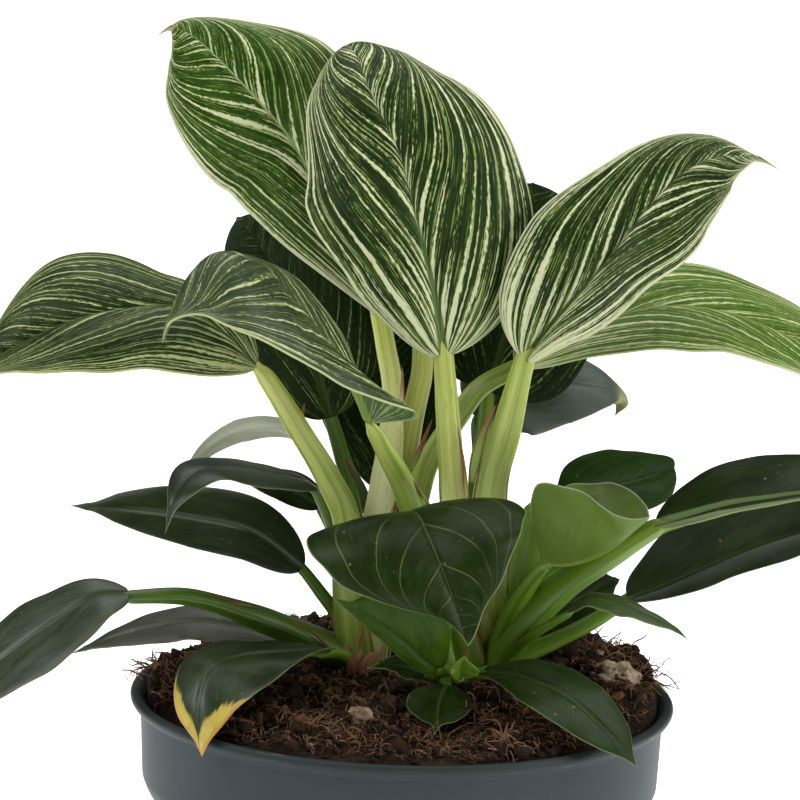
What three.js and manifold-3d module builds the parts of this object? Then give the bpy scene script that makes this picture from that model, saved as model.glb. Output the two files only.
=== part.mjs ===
// Potted birkin philodendron, in millimetres, +Z up, seen from the front along +Y.
// The origin is the middle of the pot's flat base.
import * as THREE from "three";
import { mergeVertices } from "three/addons/utils/BufferGeometryUtils.js";
import Module from "manifold-3d";

const wasm = await Module();
wasm.setup();

// Driving dimensions of the pot
const potHeight = 105;
const lipRadius = 60;
const lipDrop = 2.6;
const wall = 1.6;
const collarRadius = 57.4;
const collarFoot = 84;
const bodyRadius = 52.4;
const shoulderFoot = 77;
const baseRadius = 43;
const baseChamfer = 1.6;
const floorThickness = 2;
const drainHoles = 6;
const drainRadius = 4;
const drainCircle = 30;

// Driving dimensions of the soil and of the plant
const gap = 0.3;
const soilEdge = 103.2;
const soilMound = 7.5;
const bladeThickness = 0.8;
const tightFold = 1.4;
const mucroLength = 4;
const bladeFullness = 1.3;
const widestAt = 0.4;
const rootHalf = 1.3;
const mucroHalf = 0.45;
const lobeAt = 0.08;
const lobeStart = 0.12;

const degrees = Math.PI / 180;
const group = new THREE.Group();

const leafDark = 0x1f3618;
const leafLime = 0x55762c;
const leafYoung = 0x6d9a2f;

function material(colour, roughness) {
  return new THREE.MeshStandardMaterial({ color: colour, roughness, metalness: 0 });
}

function addMesh(name, geometry, colour, roughness) {
  const mesh = new THREE.Mesh(geometry, material(colour, roughness));
  mesh.name = name;
  group.add(mesh);
  return mesh;
}

// Solids: three.js geometry to a closed solid and back, for joining and cutting
function toSolid(geometry) {
  const plain = geometry.clone();
  plain.deleteAttribute("normal");
  plain.deleteAttribute("uv");
  const merged = mergeVertices(plain, 1e-4);
  return new wasm.Manifold(new wasm.Mesh({
    numProp: 3,
    vertProperties: new Float32Array(merged.attributes.position.array),
    triVerts: new Uint32Array(merged.index.array),
  }));
}

function toGeometry(solid) {
  const mesh = solid.getMesh();
  const geometry = new THREE.BufferGeometry();
  geometry.setAttribute("position", new THREE.BufferAttribute(mesh.vertProperties, 3));
  geometry.setIndex(new THREE.BufferAttribute(mesh.triVerts, 1));
  return geometry;
}

// Values along a length: one number, or a list spread evenly from start to end
function along(value, s) {
  if (typeof value === "number") return value;
  const place = Math.min(Math.max(s, 0), 1) * (value.length - 1);
  const cell = Math.min(Math.floor(place), value.length - 2);
  const t = place - cell;
  const ease = t * t * (3 - 2 * t);
  return value[cell] * (1 - ease) + value[cell + 1] * ease;
}

// A smooth route through points
function route(points) {
  const curve = new THREE.CatmullRomCurve3(points.map((p) => new THREE.Vector3(...p)), false, "catmullrom");
  curve.arcLengthDivisions = 120;
  return curve;
}

// A facing direction: turned to the right by the first angle, raised by the second
function facing([turn, rise]) {
  const flat = Math.cos(rise * degrees);
  return new THREE.Vector3(
    Math.sin(turn * degrees) * flat,
    -Math.cos(turn * degrees) * flat,
    Math.sin(rise * degrees),
  );
}

// Width of a blade at s, as a part of its widest
function outline(s, widest, full) {
  const p = full * widest;
  const q = full * (1 - widest);
  const t = Math.min(Math.max(s, 0), 1);
  return (t ** p * (1 - t) ** q) / (widest ** p * (1 - widest) ** q);
}

// One point of a leaf blade: s runs from stalk to tip, u from the left margin to the right
function bladePoint(leaf, s, u) {
  const { curve, length } = leaf;
  const centre = curve.getPointAt(s);
  const tangent = curve.getTangentAt(s);
  const steps = leaf.face.length - 1;
  const cell = Math.min(Math.floor(s * steps), steps - 1);
  const normal = facing(leaf.face[cell]).lerp(facing(leaf.face[cell + 1]), s * steps - cell);
  normal.addScaledVector(tangent, -normal.dot(tangent)).normalize();
  const across = new THREE.Vector3().crossVectors(tangent, normal);

  const bladeEnd = 1 - mucroLength / length;
  const t = Math.min(s / bladeEnd, 1);
  const side = u < 0 ? 0 : 1;
  const reach = Math.abs(u);
  const widest = leaf.widest ?? widestAt;
  const full = leaf.full ?? bladeFullness;
  const half = Math.max(along(leaf.width[side], t) * outline(t, widest, full), s < 0.5 ? rootHalf : mucroHalf);

  // Where the blade is narrow it can't fold as tightly
  const tightest = Math.atan(half / tightFold);
  const fold = Math.min(Math.max(along(leaf.fold[side], s) * degrees, -tightest), tightest);
  const curl = along(leaf.curl[side], s) * degrees + 1e-6;
  const out = (Math.sin(fold + curl * reach) - Math.sin(fold)) / curl;
  const lift = (Math.cos(fold) - Math.cos(fold + curl * reach)) / curl;
  const back = t / lobeAt + lobeStart;
  const lobe = (leaf.lobe ?? 0) * reach ** 1.5 * back * Math.exp(1 - back);

  return centre
    .addScaledVector(across, Math.sign(u) * out * half)
    .addScaledVector(normal, lift * half)
    .addScaledVector(tangent, -lobe);
}

// A closed thin blade: the same grid on both faces, joined round its edge
function bladeGeometry(leaf, rows, columns) {
  const grid = [];
  for (let i = 0; i <= rows; i += 1) {
    const even = i / rows;
    const s = 0.45 * even + 0.55 * (0.5 - 0.5 * Math.cos(Math.PI * even));
    for (let j = 0; j <= columns; j += 1) {
      grid.push(bladePoint(leaf, s, (2 * j) / columns - 1));
    }
  }
  const wide = columns + 1;
  const at = (i, j) => grid[Math.min(Math.max(i, 0), rows) * wide + Math.min(Math.max(j, 0), columns)];
  const upper = [];
  const lower = [];
  for (let i = 0; i <= rows; i += 1) {
    for (let j = 0; j <= columns; j += 1) {
      const lengthways = new THREE.Vector3().subVectors(at(i + 1, j), at(i - 1, j));
      const crossways = new THREE.Vector3().subVectors(at(i, j + 1), at(i, j - 1));
      const normal = new THREE.Vector3().crossVectors(crossways, lengthways).normalize();
      upper.push(at(i, j).clone().addScaledVector(normal, bladeThickness / 2));
      lower.push(at(i, j).clone().addScaledVector(normal, -bladeThickness / 2));
    }
  }
  const position = [...upper, ...lower].flatMap((p) => [p.x, p.y, p.z]);
  const index = [];
  const under = grid.length;
  for (let i = 0; i < rows; i += 1) {
    for (let j = 0; j < columns; j += 1) {
      const a = i * wide + j;
      const b = a + 1;
      const c = a + wide + 1;
      const d = a + wide;
      index.push(a, b, c, a, c, d);
      index.push(under + a, under + c, under + b, under + a, under + d, under + c);
    }
  }
  const rim = [];
  for (let j = 0; j < columns; j += 1) rim.push(j);
  for (let i = 0; i < rows; i += 1) rim.push(i * wide + columns);
  for (let j = columns; j > 0; j -= 1) rim.push(rows * wide + j);
  for (let i = rows; i > 0; i -= 1) rim.push(i * wide);
  rim.forEach((a, k) => {
    const b = rim[(k + 1) % rim.length];
    index.push(a, under + a, b, b, under + a, under + b);
  });
  const geometry = new THREE.BufferGeometry();
  geometry.setAttribute("position", new THREE.BufferAttribute(new Float32Array(position), 3));
  geometry.setIndex(index);
  return geometry;
}

// A tapering stalk: eight-sided rings along a route, flatter on the side that faces up
function stalkGeometry(points, thick, faceUp) {
  const curve = route(points);
  const sides = Math.max(...thick) > 5 ? 8 : 6;
  const rings = 2 * points.length - 1;
  const position = [];
  const index = [];
  for (let i = 0; i < rings; i += 1) {
    const s = i / (rings - 1);
    const centre = curve.getPointAt(s);
    const tangent = curve.getTangentAt(s);
    const up = faceUp.clone().addScaledVector(tangent, -faceUp.dot(tangent)).normalize();
    const across = new THREE.Vector3().crossVectors(tangent, up);
    const radius = along(thick, s) / 2;
    for (let k = 0; k < sides; k += 1) {
      const angle = (2 * Math.PI * k) / sides;
      const flatten = Math.cos(angle) > 0 ? 0.55 : 0.9;
      const p = centre.clone()
        .addScaledVector(across, radius * Math.sin(angle))
        .addScaledVector(up, radius * flatten * Math.cos(angle));
      position.push(p.x, p.y, p.z);
    }
  }
  for (let i = 0; i < rings - 1; i += 1) {
    for (let k = 0; k < sides; k += 1) {
      const a = i * sides + k;
      const b = i * sides + ((k + 1) % sides);
      index.push(a, b, a + sides, b, b + sides, a + sides);
    }
  }
  const last = (rings - 1) * sides;
  for (let k = 1; k < sides - 1; k += 1) {
    index.push(0, k + 1, k);
    index.push(last, last + k, last + k + 1);
  }
  const geometry = new THREE.BufferGeometry();
  geometry.setAttribute("position", new THREE.BufferAttribute(new Float32Array(position), 3));
  geometry.setIndex(index);
  return geometry;
}

// Leaves, each with its midrib from stalk to tip, the way its face looks at both ends,
// the widths left and right of the midrib, the fold at the midrib and the curl of each half,
// and its stalk from blade to crown
const leaves = [
  {
    name: "leaf_front_tall", shoot: "right", grid: [13, 6],
    spine: [[6.5, -8.5, 182.5], [4, -7, 196], [-1, -4, 214], [-4.5, 0, 225], [-10.5, 6, 236],
      [-14, 13, 243], [-16.5, 20, 245.5], [-18, 26, 241.5]],
    face: [[0, 12], [0, 20], [-5, 30], [-10, 60]], widest: 0.42,
    width: [[19, 20, 22, 19, 16], [25, 27, 26, 22, 19]], fold: [[25, 8, 5], 8], curl: [-35, -38],
    stalk: [[7, -8, 175], [8, -8, 168], [10, -6, 150], [14, -3, 132], [17, 1, 113]],
    thick: [4.4, 5.5, 8, 9],
  },
  {
    name: "leaf_top_left", shoot: "left", grid: [15, 6],
    spine: [[-8, 6, 189], [-17, 10, 205.5], [-24, 15, 217.5], [-30, 18, 226.5], [-44, 21, 240.6],
      [-52, 22.3, 246.3], [-59, 22.5, 247.4]],
    face: [[-10, 5], [-10, 15], [-20, 40]], widest: 0.6,
    width: [[15, 17, 19.5, 19.5], [20, 20, 19, 10]], fold: [[55, 15, 0], [30, 10, 5]], curl: [-20, -45],
    stalk: [[-7.5, 6, 186], [-6, 5, 181], [-4, 4, 172], [-4, 2, 159], [-6, 1, 146], [-7, 1, 125],
      [-8, 2, 110]],
    thick: [4.2, 5, 6, 8],
  },
  {
    name: "leaf_upper_right", shoot: "right", grid: [12, 6],
    spine: [[24, -12, 183], [30, -10, 191], [38, -9, 201], [53, -4, 220], [64, 0, 226.5], [77, 2, 226]],
    face: [[0, 10], [5, 15], [15, 60]], widest: 0.4,
    width: [[19, 18.5, 15, 15], [13, 13, 16, 22]], fold: [10, [75, 55, 15, 5]], curl: [-30, -30],
    stalk: [[23.5, -12, 180], [22, -10, 167], [19, -7, 153], [18, -4, 134], [18, 2, 112]],
    thick: [4.2, 5.5, 8, 9],
  },
  {
    name: "leaf_right_pale", shoot: "left", grid: [12, 6],
    spine: [[22.5, 0, 179.5], [36, 3, 187], [51.5, 6, 192], [66.5, 8, 191.5], [82.5, 8, 186],
      [98, 6, 177.5], [108, 3, 169.5]],
    face: [[0, 50], [0, 60]],
    width: [15, [13, 16, 16.5, 13.5]], fold: [5, [35, 20, 10]], curl: [-25, -25],
    stalk: [[21, 0, 180], [15, 2, 174], [10, 2, 167], [4, 1, 157], [1, 0, 146], [-5, 1, 126],
      [-7, 2, 110]],
    thick: [4.2, 5, 6, 8],
  },
  {
    name: "leaf_far_left", shoot: "left", grid: [12, 6],
    spine: [[-34, -16, 183.5], [-41, -17, 188.5], [-51, -18, 194], [-66.5, -20, 192], [-77.5, -20, 188],
      [-88.5, -20, 181.5], [-96.5, -17, 172.5]],
    face: [[-10, 42], [-25, 42]], full: 1.15,
    width: [[17, 17, 15, 11], [9, 13, 19.5, 18.5]], fold: [10, 10], curl: [-30, -30],
    stalk: [[-34, -16, 181], [-31, -14, 176], [-25, -10, 165], [-19, -8, 155], [-14, -5, 144],
      [-12, -3, 126], [-10, 0, 110]],
    thick: [4, 5, 6, 7.5, 9],
  },
  {
    name: "leaf_arching", shoot: "right", grid: [12, 6],
    spine: [[-9, -20, 176.5], [-13, -23, 182], [-18, -26, 188], [-23, -30, 196.5], [-28.5, -34, 202.5],
      [-36, -38, 208], [-44, -42, 207], [-49, -44, 200], [-52.5, -46, 190.5]],
    face: [[-10, 85], [-10, 62], [-20, 28], [-40, 35]], lobe: 13,
    width: [[15, 16, 18, 18], [14, 14, 15, 16]], fold: [[15, 10, 0], [-5, -35, -55, -45]],
      curl: [-30, -20],
    stalk: [[-10, -20.5, 174], [-8, -18, 167], [-4, -15, 160], [1, -12, 151], [8, -8, 136],
      [15, -2, 113]],
    thick: [4.2, 5.5, 7, 9],
  },
  {
    name: "leaf_back_left", shoot: "left", grid: [10, 6],
    spine: [[-18, 16, 163], [-23, 22, 178], [-28, 27, 190], [-41, 36, 206]],
    face: [[-10, 5], [-10, 20]], widest: 0.5,
    width: [[14, 15, 17], 17], fold: [5, 5], curl: [-20, -20],
    stalk: [[-18, 16, 161], [-15, 13, 155], [-13, 10, 149], [-11, 6, 133], [-9, 4, 110]],
    thick: [3.2, 4, 6, 7],
  },
  {
    name: "leaf_back_right", shoot: "right", grid: [10, 6],
    spine: [[15, 16, 163.5], [20.5, 20, 168.5], [29.5, 26, 170.2], [39, 31, 169.3], [45.3, 34, 167.6],
      [47.2, 35.4, 165], [46.2, 35.8, 162]],
    face: [[10, 30], [20, 60]],
    width: [13, [13, 11, 10]], fold: [5, 5], curl: [-20, -20],
    stalk: [[15, 15, 162], [16, 12, 153], [18, 8, 134], [19, 4, 112]],
    thick: [3.2, 4, 6, 7],
  },
  {
    name: "leaf_back_tall", shoot: "right", grid: [10, 6],
    spine: [[17, 16, 170], [20, 22, 180.5], [24.5, 29, 195.5], [29, 36, 214]],
    face: [[10, 5], [10, 25]],
    width: [20, 20], fold: [5, 5], curl: [-20, -20],
    stalk: [[17, 14, 169], [16, 12, 160], [15, 9, 152], [16, 6, 132], [18, 4, 112]],
    thick: [3.2, 4, 6, 7],
  },
  {
    name: "leaf_back_hidden", shoot: "left", grid: [10, 6],
    spine: [[2, 10, 182], [3, 18, 200], [4, 25, 214], [4, 34, 228]],
    face: [[0, 5], [0, 30]],
    width: [17, 17], fold: [5, 5], curl: [-20, -20],
    stalk: [[2, 10, 180], [2, 9, 175], [0, 7, 167], [-2, 5, 157], [-4, 4, 145], [-6, 4, 125],
      [-7, 4, 110]],
    thick: [4.2, 5, 6, 8],
  },
  {
    name: "leaf_back_middle", shoot: "left", grid: [10, 6],
    spine: [[-5.3, 24, 145.7], [-6.6, 28, 155.7], [-8.1, 32, 166.3], [-8.5, 38, 182]],
    face: [[0, 5], [0, 20]], widest: 0.45,
    width: [[8, 13, 14], [12, 16, 16]], fold: [5, 5], curl: [-20, -20],
    stalk: [[-5.3, 23, 143.5], [-5.5, 18, 134], [-6, 11, 122], [-7, 5, 110]],
    thick: [3, 4, 5],
  },
  {
    name: "leaf_low_far_left", shoot: "left", grid: [10, 6],
    spine: [[-59.5, -22, 131], [-66.5, -24, 130.5], [-74, -26, 126], [-82.5, -28, 120],
      [-90.5, -29, 113.5], [-99, -29, 106], [-106.5, -28, 98]],
    face: [[-10, 68], [-15, 68]],
    width: [[12, 13, 14], [9, 11, 13]], fold: [10, 10], curl: [-20, -20],
    stalk: [[-58.5, -22, 131.3], [-47, -19, 130], [-34, -14, 125.5], [-22, -6, 119], [-12, 0, 113]],
    thick: [3.3, 4.5, 7, 9],
  },
  {
    name: "leaf_low_left_back", shoot: "left", grid: [8, 4],
    spine: [[-23, 2, 132], [-34, 5, 139], [-46, 8, 141], [-60, 10, 142], [-75, 12, 142]],
    face: [[0, 20], [0, 30]],
    width: [7, 7.5], fold: [5, 5], curl: [-15, -15],
    stalk: [[-22, 2, 131], [-19, 2, 127], [-14, 2, 120], [-10, 2, 109]],
    thick: [2.4, 3, 4],
  },
  {
    name: "leaf_low_left_folded", shoot: "left", grid: [10, 6],
    spine: [[-20, 5, 149], [-23.5, 3, 151.5], [-31, -2, 154], [-40, -8, 156], [-46, -14, 156.5],
      [-50, -20, 152.5], [-52, -23, 144.5]],
    face: [[0, 84], [0, 80], [-50, 40]],
    width: [11, [10, 9, 8, 6]], fold: [10, 10], curl: [-25, -25],
    stalk: [[-19.5, 5.5, 147.5], [-16, 4, 139], [-13, 2, 125], [-10, 0, 110]],
    thick: [2.4, 3, 4],
  },
  {
    name: "leaf_low_left_hidden", shoot: "left", grid: [8, 4],
    spine: [[-19.5, 12, 144], [-26, 12, 147.5], [-32.5, 11, 149], [-38, 10, 150.5]],
    face: [[0, 40], [0, 60]],
    width: [6, 5], fold: [5, 5], curl: [-20, -20],
    stalk: [[-18.8, 11.5, 142.8], [-15, 9, 135], [-12, 6, 123], [-9, 3, 110]],
    thick: [2.4, 3, 4],
  },
  {
    name: "leaf_left_pale_back", shoot: "left", grid: [8, 4],
    spine: [[-21.5, 12, 157.5], [-28, 16, 159.8], [-37, 22, 157.3], [-45, 27, 152], [-50.5, 30, 145.5]],
    face: [[170, 30], [170, 10]],
    width: [4, 5], fold: [0, 0], curl: [-10, -10],
    stalk: [[-21, 11.6, 155.4], [-16, 9, 145.5], [-12, 5, 129], [-9, 4, 110]],
    thick: [2.4, 3, 4],
  },
  {
    name: "leaf_soil_left", shoot: "left", grid: [8, 4],
    spine: [[-26.5, 4, 115], [-36.5, 7, 117], [-47.5, 10, 117], [-61, 12, 113.5], [-74.5, 14, 107.5]],
    face: [[0, 62], [0, 62]],
    width: [6, 6], fold: [5, 5], curl: [-20, -20],
    stalk: [[-26, 4, 115], [-19, 3, 115], [-11, 2, 113]],
    thick: [2.6, 3.2, 4],
  },
  {
    name: "leaf_yellow_tip", shoot: "left", grid: [10, 6],
    spine: [[-17, -17, 118.5], [-26.5, -24, 119.5], [-36, -31, 120], [-41, -37, 119], [-43, -42, 114],
      [-43, -45, 108], [-42, -47, 102]],
    face: [[-5, 60], [-20, 50], [-20, 15]],
    width: [[3, 9, 15, 14], [8, 9.5, 14]], fold: [5, -10], curl: [-20, -20],
    stalk: [[-16.5, -16, 118], [-14, -11, 116.5], [-9.5, -5, 113]],
    thick: [2.4, 3, 4],
  },
  {
    name: "leaf_front_dark", shoot: "front", grid: [14, 6],
    spine: [[1, -26, 151.5], [2, -31, 150], [4.5, -37, 145], [8.5, -41, 140.5], [11.5, -43, 134],
      [13.5, -45, 126.5]],
    face: [[0, 60], [0, 30], [0, 10]], widest: 0.25, full: 1.1, lobe: 8,
    width: [[26, 26, 24, 20, 18], [25, 23, 18, 13, 12]], fold: [8, 8], curl: [-30, -30],
    stalk: [[1.5, -25, 150], [5, -20, 138], [8, -17, 124], [9, -16, 112]],
    thick: [3, 4, 5],
  },
  {
    name: "leaf_front_left", shoot: "front", grid: [8, 4],
    spine: [[8, -24, 116.5], [4.5, -27, 119.5], [-3, -30, 126.5], [-16, -33, 134.5]],
    face: [[-10, 10], [-10, 10]],
    width: [3, [9, 11, 12]], fold: [5, 5], curl: [-20, -20],
    stalk: [[8.5, -22, 116.5], [9, -19, 115], [9, -16, 112]],
    thick: [2.6, 3, 3.5],
  },
  {
    name: "leaf_right_young", shoot: "right", grid: [10, 6], colour: leafYoung,
    spine: [[30, -14.6, 139.5], [36.3, -15.9, 142], [43.8, -18.8, 146.5], [51.8, -21.6, 151.5]],
    face: [[0, 85], [0, 80]], widest: 0.28,
    width: [[14, 16, 18, 20], [18, 19, 14, 9]], fold: [70, 68], curl: [-10, -10],
    stalk: [[29, -14, 138.5], [27, -12, 134], [23, -7, 125], [19, -1, 112]],
    thick: [2.6, 3.2, 4],
  },
  {
    name: "leaf_right_sliver", shoot: "right", grid: [8, 4], colour: leafYoung,
    spine: [[25, -4, 131.2], [25.5, -3, 136.2], [26, -2, 141.5], [27, -1, 147.6]],
    face: [[-20, 10], [-20, 10]],
    width: [4, 5], fold: [0, 0], curl: [-10, -10],
    stalk: [[24.7, -4, 129.7], [22, -2, 121], [19, 1, 112]],
    thick: [2.4, 3, 4],
  },
  {
    name: "leaf_right_back", shoot: "right", grid: [8, 4],
    spine: [[40, 14, 142], [45, 17, 145], [51.5, 22, 148], [61, 28, 153]],
    face: [[0, 30], [10, 40]], widest: 0.35,
    width: [[13, 13, 15, 18], [8, 8, 9, 12]], fold: [5, 5], curl: [-20, -20],
    stalk: [[39.5, 13.5, 141], [34, 10, 133], [27, 6, 123], [20, 3, 112]],
    thick: [2.8, 3.5, 5],
  },
  {
    name: "leaf_right_low", shoot: "right", grid: [12, 6],
    spine: [[53.5, -14, 148], [61, -16, 151], [69, -18, 154], [77, -20, 156], [84, -21, 157.5],
      [96.5, -22, 159], [111.5, -22, 157.5]],
    face: [[0, 52], [0, 55]],
    width: [15, [9, 8, 8, 9]], fold: [0, [45, 45]], curl: [-20, -30],
    stalk: [[53, -14, 148], [43, -13, 140], [34, -11, 133], [26, -8, 124], [19, -2, 112]],
    thick: [3.6, 5.5, 7, 9],
  },
  {
    name: "leaf_right_lowest", shoot: "right", grid: [10, 6],
    spine: [[49, 2, 127.5], [56, 3, 130], [64.5, 4, 134], [77.5, 5, 140], [95, 4, 146], [109, 2, 149]],
    face: [[0, 30], [0, 30]], widest: 0.35,
    width: [16, [4, 6, 9, 10]], fold: [0, 40], curl: [-20, -20],
    stalk: [[48, 2, 127], [41, 1, 122], [32, 1, 117], [21, 1, 112]],
    thick: [3, 3.6, 5],
  },
  {
    name: "leaf_right_small", shoot: "right", grid: [8, 4],
    spine: [[35, -20, 130], [40, -22, 133.5], [48, -25, 132.5], [57, -28, 129], [61, -30, 126.5]],
    face: [[0, 75], [0, 75]],
    width: [2.5, 4.5], fold: [5, 5], curl: [-20, -20],
    stalk: [[34.5, -20, 129], [29, -15, 124], [24, -9, 118], [19, -3, 112]],
    thick: [2.2, 2.8, 4],
  },
  {
    name: "leaf_right_behind", shoot: "right", grid: [8, 4],
    spine: [[31, 12, 119.5], [36.5, 15, 122.5], [43, 19, 125.5], [48, 22, 127]],
    face: [[0, 20], [0, 20]],
    width: [7, 7], fold: [5, 5], curl: [-10, -10],
    stalk: [[30.5, 11, 119.5], [26, 8, 118], [20, 4, 115]],
    thick: [2.4, 3, 4],
  },
  {
    name: "leaf_over_lip", shoot: "front", grid: [8, 4],
    spine: [[17, -23, 116.5], [25, -31, 118], [35, -40, 116], [44, -47, 110], [50, -51, 104]],
    face: [[10, 50], [20, 50]], widest: 0.5,
    width: [[7, 8, 8], [4, 7.5, 7.5]], fold: [5, 5], curl: [-20, -20],
    stalk: [[16, -22, 116], [13, -19, 115], [10, -16, 112]],
    thick: [2.4, 3, 3.5],
  },
  {
    name: "leaf_on_soil", shoot: "front", grid: [8, 4],
    spine: [[9.5, -24, 113.5], [8, -30, 111], [7.5, -37, 108.5], [7, -42, 107]],
    face: [[0, 65], [0, 65]],
    width: [7, 7], fold: [0, 0], curl: [-10, -10],
    stalk: [[9.6, -23, 113.8], [9.5, -20, 113.5], [9, -17, 112]],
    thick: [2.2, 2.6, 3],
  },
  {
    name: "leaf_sprout", shoot: "front", grid: [8, 4], colour: leafYoung,
    spine: [[12.5, -24, 115.2], [13.2, -25, 117], [14.5, -26.5, 118.5], [16.5, -28.5, 118]],
    face: [[10, 30], [10, 60]], widest: 0.35,
    width: [3.5, 3.5], fold: [35, 35], curl: [-20, -20],
    stalk: [[12.2, -23.3, 114.4], [11, -20, 113.5], [9, -17, 112]],
    thick: [2, 2.6, 3],
  },
  {
    name: "leaf_low_thin", shoot: "front", grid: [8, 4],
    spine: [[4.5, -20, 115], [1, -22, 116.5], [-3, -24, 117.5], [-8, -27, 117.2]],
    face: [[0, 40], [0, 40]],
    width: [2.6, 2.6], fold: [10, 10], curl: [-20, -20],
    stalk: [[5.4, -19.6, 114.6], [7, -18, 113.5], [9, -16, 112]],
    thick: [2, 2.6, 3],
  },
];

leaves.forEach((leaf) => {
  leaf.curve = route(leaf.spine);
  leaf.length = leaf.curve.getLength();
  const [rows, columns] = leaf.grid;
  addMesh(leaf.name, bladeGeometry(leaf, rows, columns), leaf.colour ?? leafDark, 0.45);
});

// A turned solid: a profile of [radius, height] pairs spun round the Z axis
function turned(profile, sectors) {
  const points = profile.map(([radius, height]) => new THREE.Vector2(radius, height));
  return new THREE.LatheGeometry(points, sectors).rotateX(Math.PI / 2);
}

// Shoots: a short stem standing in a socket in the soil, with the stalks of its leaves grown into it
const shoots = {
  left: { at: [-8, 2], radius: 9, top: 122 },
  right: { at: [18, 1], radius: 9.5, top: 124 },
  front: { at: [9, -16], radius: 4.5, top: 116 },
};
const stemFoot = 92;
const stemShoulder = 10;
const stemChamfer = 3;
const socketRoom = 1.2;
const sockets = [];

Object.entries(shoots).forEach(([side, shoot]) => {
  const { at, radius, top } = shoot;
  const stem = turned([
    [0, stemFoot], [radius * 0.7, stemFoot], [radius, stemFoot + stemChamfer],
    [radius, top - stemShoulder], [radius * 0.6, top], [0, top + 1],
  ], 14);
  let solid = toSolid(stem.translate(at[0], at[1], 0));
  leaves.filter((leaf) => leaf.shoot === side).forEach((leaf) => {
    solid = solid.add(toSolid(stalkGeometry(leaf.stalk, leaf.thick, facing(leaf.face[0]))));
  });
  addMesh(`stalks_${side}`, toGeometry(solid), leafLime, 0.5);
  const reach = radius + socketRoom;
  const above = 1.3 * potHeight;
  const socket = turned([[0, stemFoot - 1], [reach, stemFoot - 1], [reach, above], [0, above]], 16);
  sockets.push(toSolid(socket.translate(at[0], at[1], 0)));
});

// Pot: one turned shell with an outward lip, a tall collar, a rounded shoulder and a tapering body
const potSectors = 44;
const lipUnder = potHeight - lipDrop;
const lipMiddle = potHeight - lipDrop / 2;
const collarTopRadius = collarRadius + 0.2;
const collarInner = collarRadius - wall - 0.8;
const bodyInner = bodyRadius - wall - 0.4;
const potOutside = [
  [0, 0], [baseRadius - baseChamfer, 0], [baseRadius, baseChamfer],
  [bodyRadius - 0.8, shoulderFoot - 4], [bodyRadius, shoulderFoot],
  [bodyRadius + 1.6, shoulderFoot + 3.5], [collarRadius - 1.5, collarFoot - 0.5],
  [collarRadius - 0.5, collarFoot + 2], [collarTopRadius, lipUnder - 0.6],
];
const potLip = [
  [lipRadius - 0.7, lipUnder], [lipRadius, lipMiddle], [lipRadius - 0.5, potHeight - 0.3],
  [lipRadius - 1.4, potHeight], [lipRadius - 2.8, potHeight - 0.2],
];
const potInside = [
  [collarRadius - wall, potHeight - 1.6], [collarInner, collarFoot + 2],
  [bodyInner + 1.6, shoulderFoot + 4], [bodyInner, shoulderFoot],
  [baseRadius - wall + 0.1, floorThickness], [0, floorThickness],
];
let pot = toSolid(turned([...potOutside, ...potLip, ...potInside], potSectors));
for (let k = 0; k < drainHoles; k += 1) {
  const angle = (2 * Math.PI * (k + 0.5)) / drainHoles;
  const drill = new THREE.CylinderGeometry(drainRadius, drainRadius, 3 * floorThickness, 12)
    .rotateX(Math.PI / 2)
    .translate(drainCircle * Math.cos(angle), drainCircle * Math.sin(angle), floorThickness / 2);
  pot = pot.subtract(toSolid(drill));
}
addMesh("pot", toGeometry(pot), 0x4a545c, 0.45);

// Soil: fills the pot, and is heaped above the lip with low lumps
function bump(x, y, centreX, centreY, height, spread) {
  return height * Math.exp(-((x - centreX) ** 2 + (y - centreY) ** 2) / spread ** 2);
}

function soilHeight(x, y) {
  const r = Math.hypot(x, y) / collarRadius;
  const mound = soilMound * (1 - r ** 4) * (1 + 0.25 * Math.min(y / collarRadius, 0));
  const heaps = bump(x, y, 34, 30, 5, 26.5) + bump(x, y, -26, 34, 3, 22.4) - bump(x, y, 8, -36, 3.2, 12.6);
  const lumps = 0.9 * Math.sin(x * 0.31 + 1.2) * Math.sin(y * 0.27 + 0.4)
    + 0.5 * Math.sin(x * 0.63 + y * 0.55);
  return soilEdge + mound + heaps + lumps * (1 - r ** 6);
}

function soilGeometry() {
  const sectors = 36;
  const topRings = [0.15, 0.3, 0.43, 0.55, 0.66, 0.76, 0.85, 0.93, 1];
  const topRadius = collarInner - 2 * gap;
  const wallRings = [
    [topRadius, collarFoot + 3], [bodyInner - 2 * gap, shoulderFoot],
    [baseRadius - wall - 1.5 * gap, floorThickness + gap],
  ];
  const position = [];
  const index = [];
  const ring = (radius, height) => {
    for (let k = 0; k < sectors; k += 1) {
      const angle = (2 * Math.PI * k) / sectors;
      const x = radius * Math.cos(angle);
      const y = radius * Math.sin(angle);
      position.push(x, y, height ?? soilHeight(x, y));
    }
  };
  topRings.forEach((part) => ring(topRadius * part));
  wallRings.forEach(([radius, height]) => ring(radius, height));
  position.push(0, 0, soilHeight(0, 0));
  position.push(0, 0, floorThickness + gap);
  const ringCount = topRings.length + wallRings.length;
  const topCentre = ringCount * sectors;
  for (let k = 0; k < sectors; k += 1) {
    const next = (k + 1) % sectors;
    index.push(topCentre, k, next);
    for (let i = 0; i < ringCount - 1; i += 1) {
      const a = i * sectors + k;
      const b = i * sectors + next;
      index.push(a, a + sectors, b, b, a + sectors, b + sectors);
    }
    const last = (ringCount - 1) * sectors;
    index.push(topCentre + 1, last + next, last + k);
  }
  const geometry = new THREE.BufferGeometry();
  geometry.setAttribute("position", new THREE.BufferAttribute(new Float32Array(position), 3));
  geometry.setIndex(index);
  return geometry;
}

let soil = toSolid(soilGeometry());
sockets.forEach((socket) => {
  soil = soil.subtract(socket);
});

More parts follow.
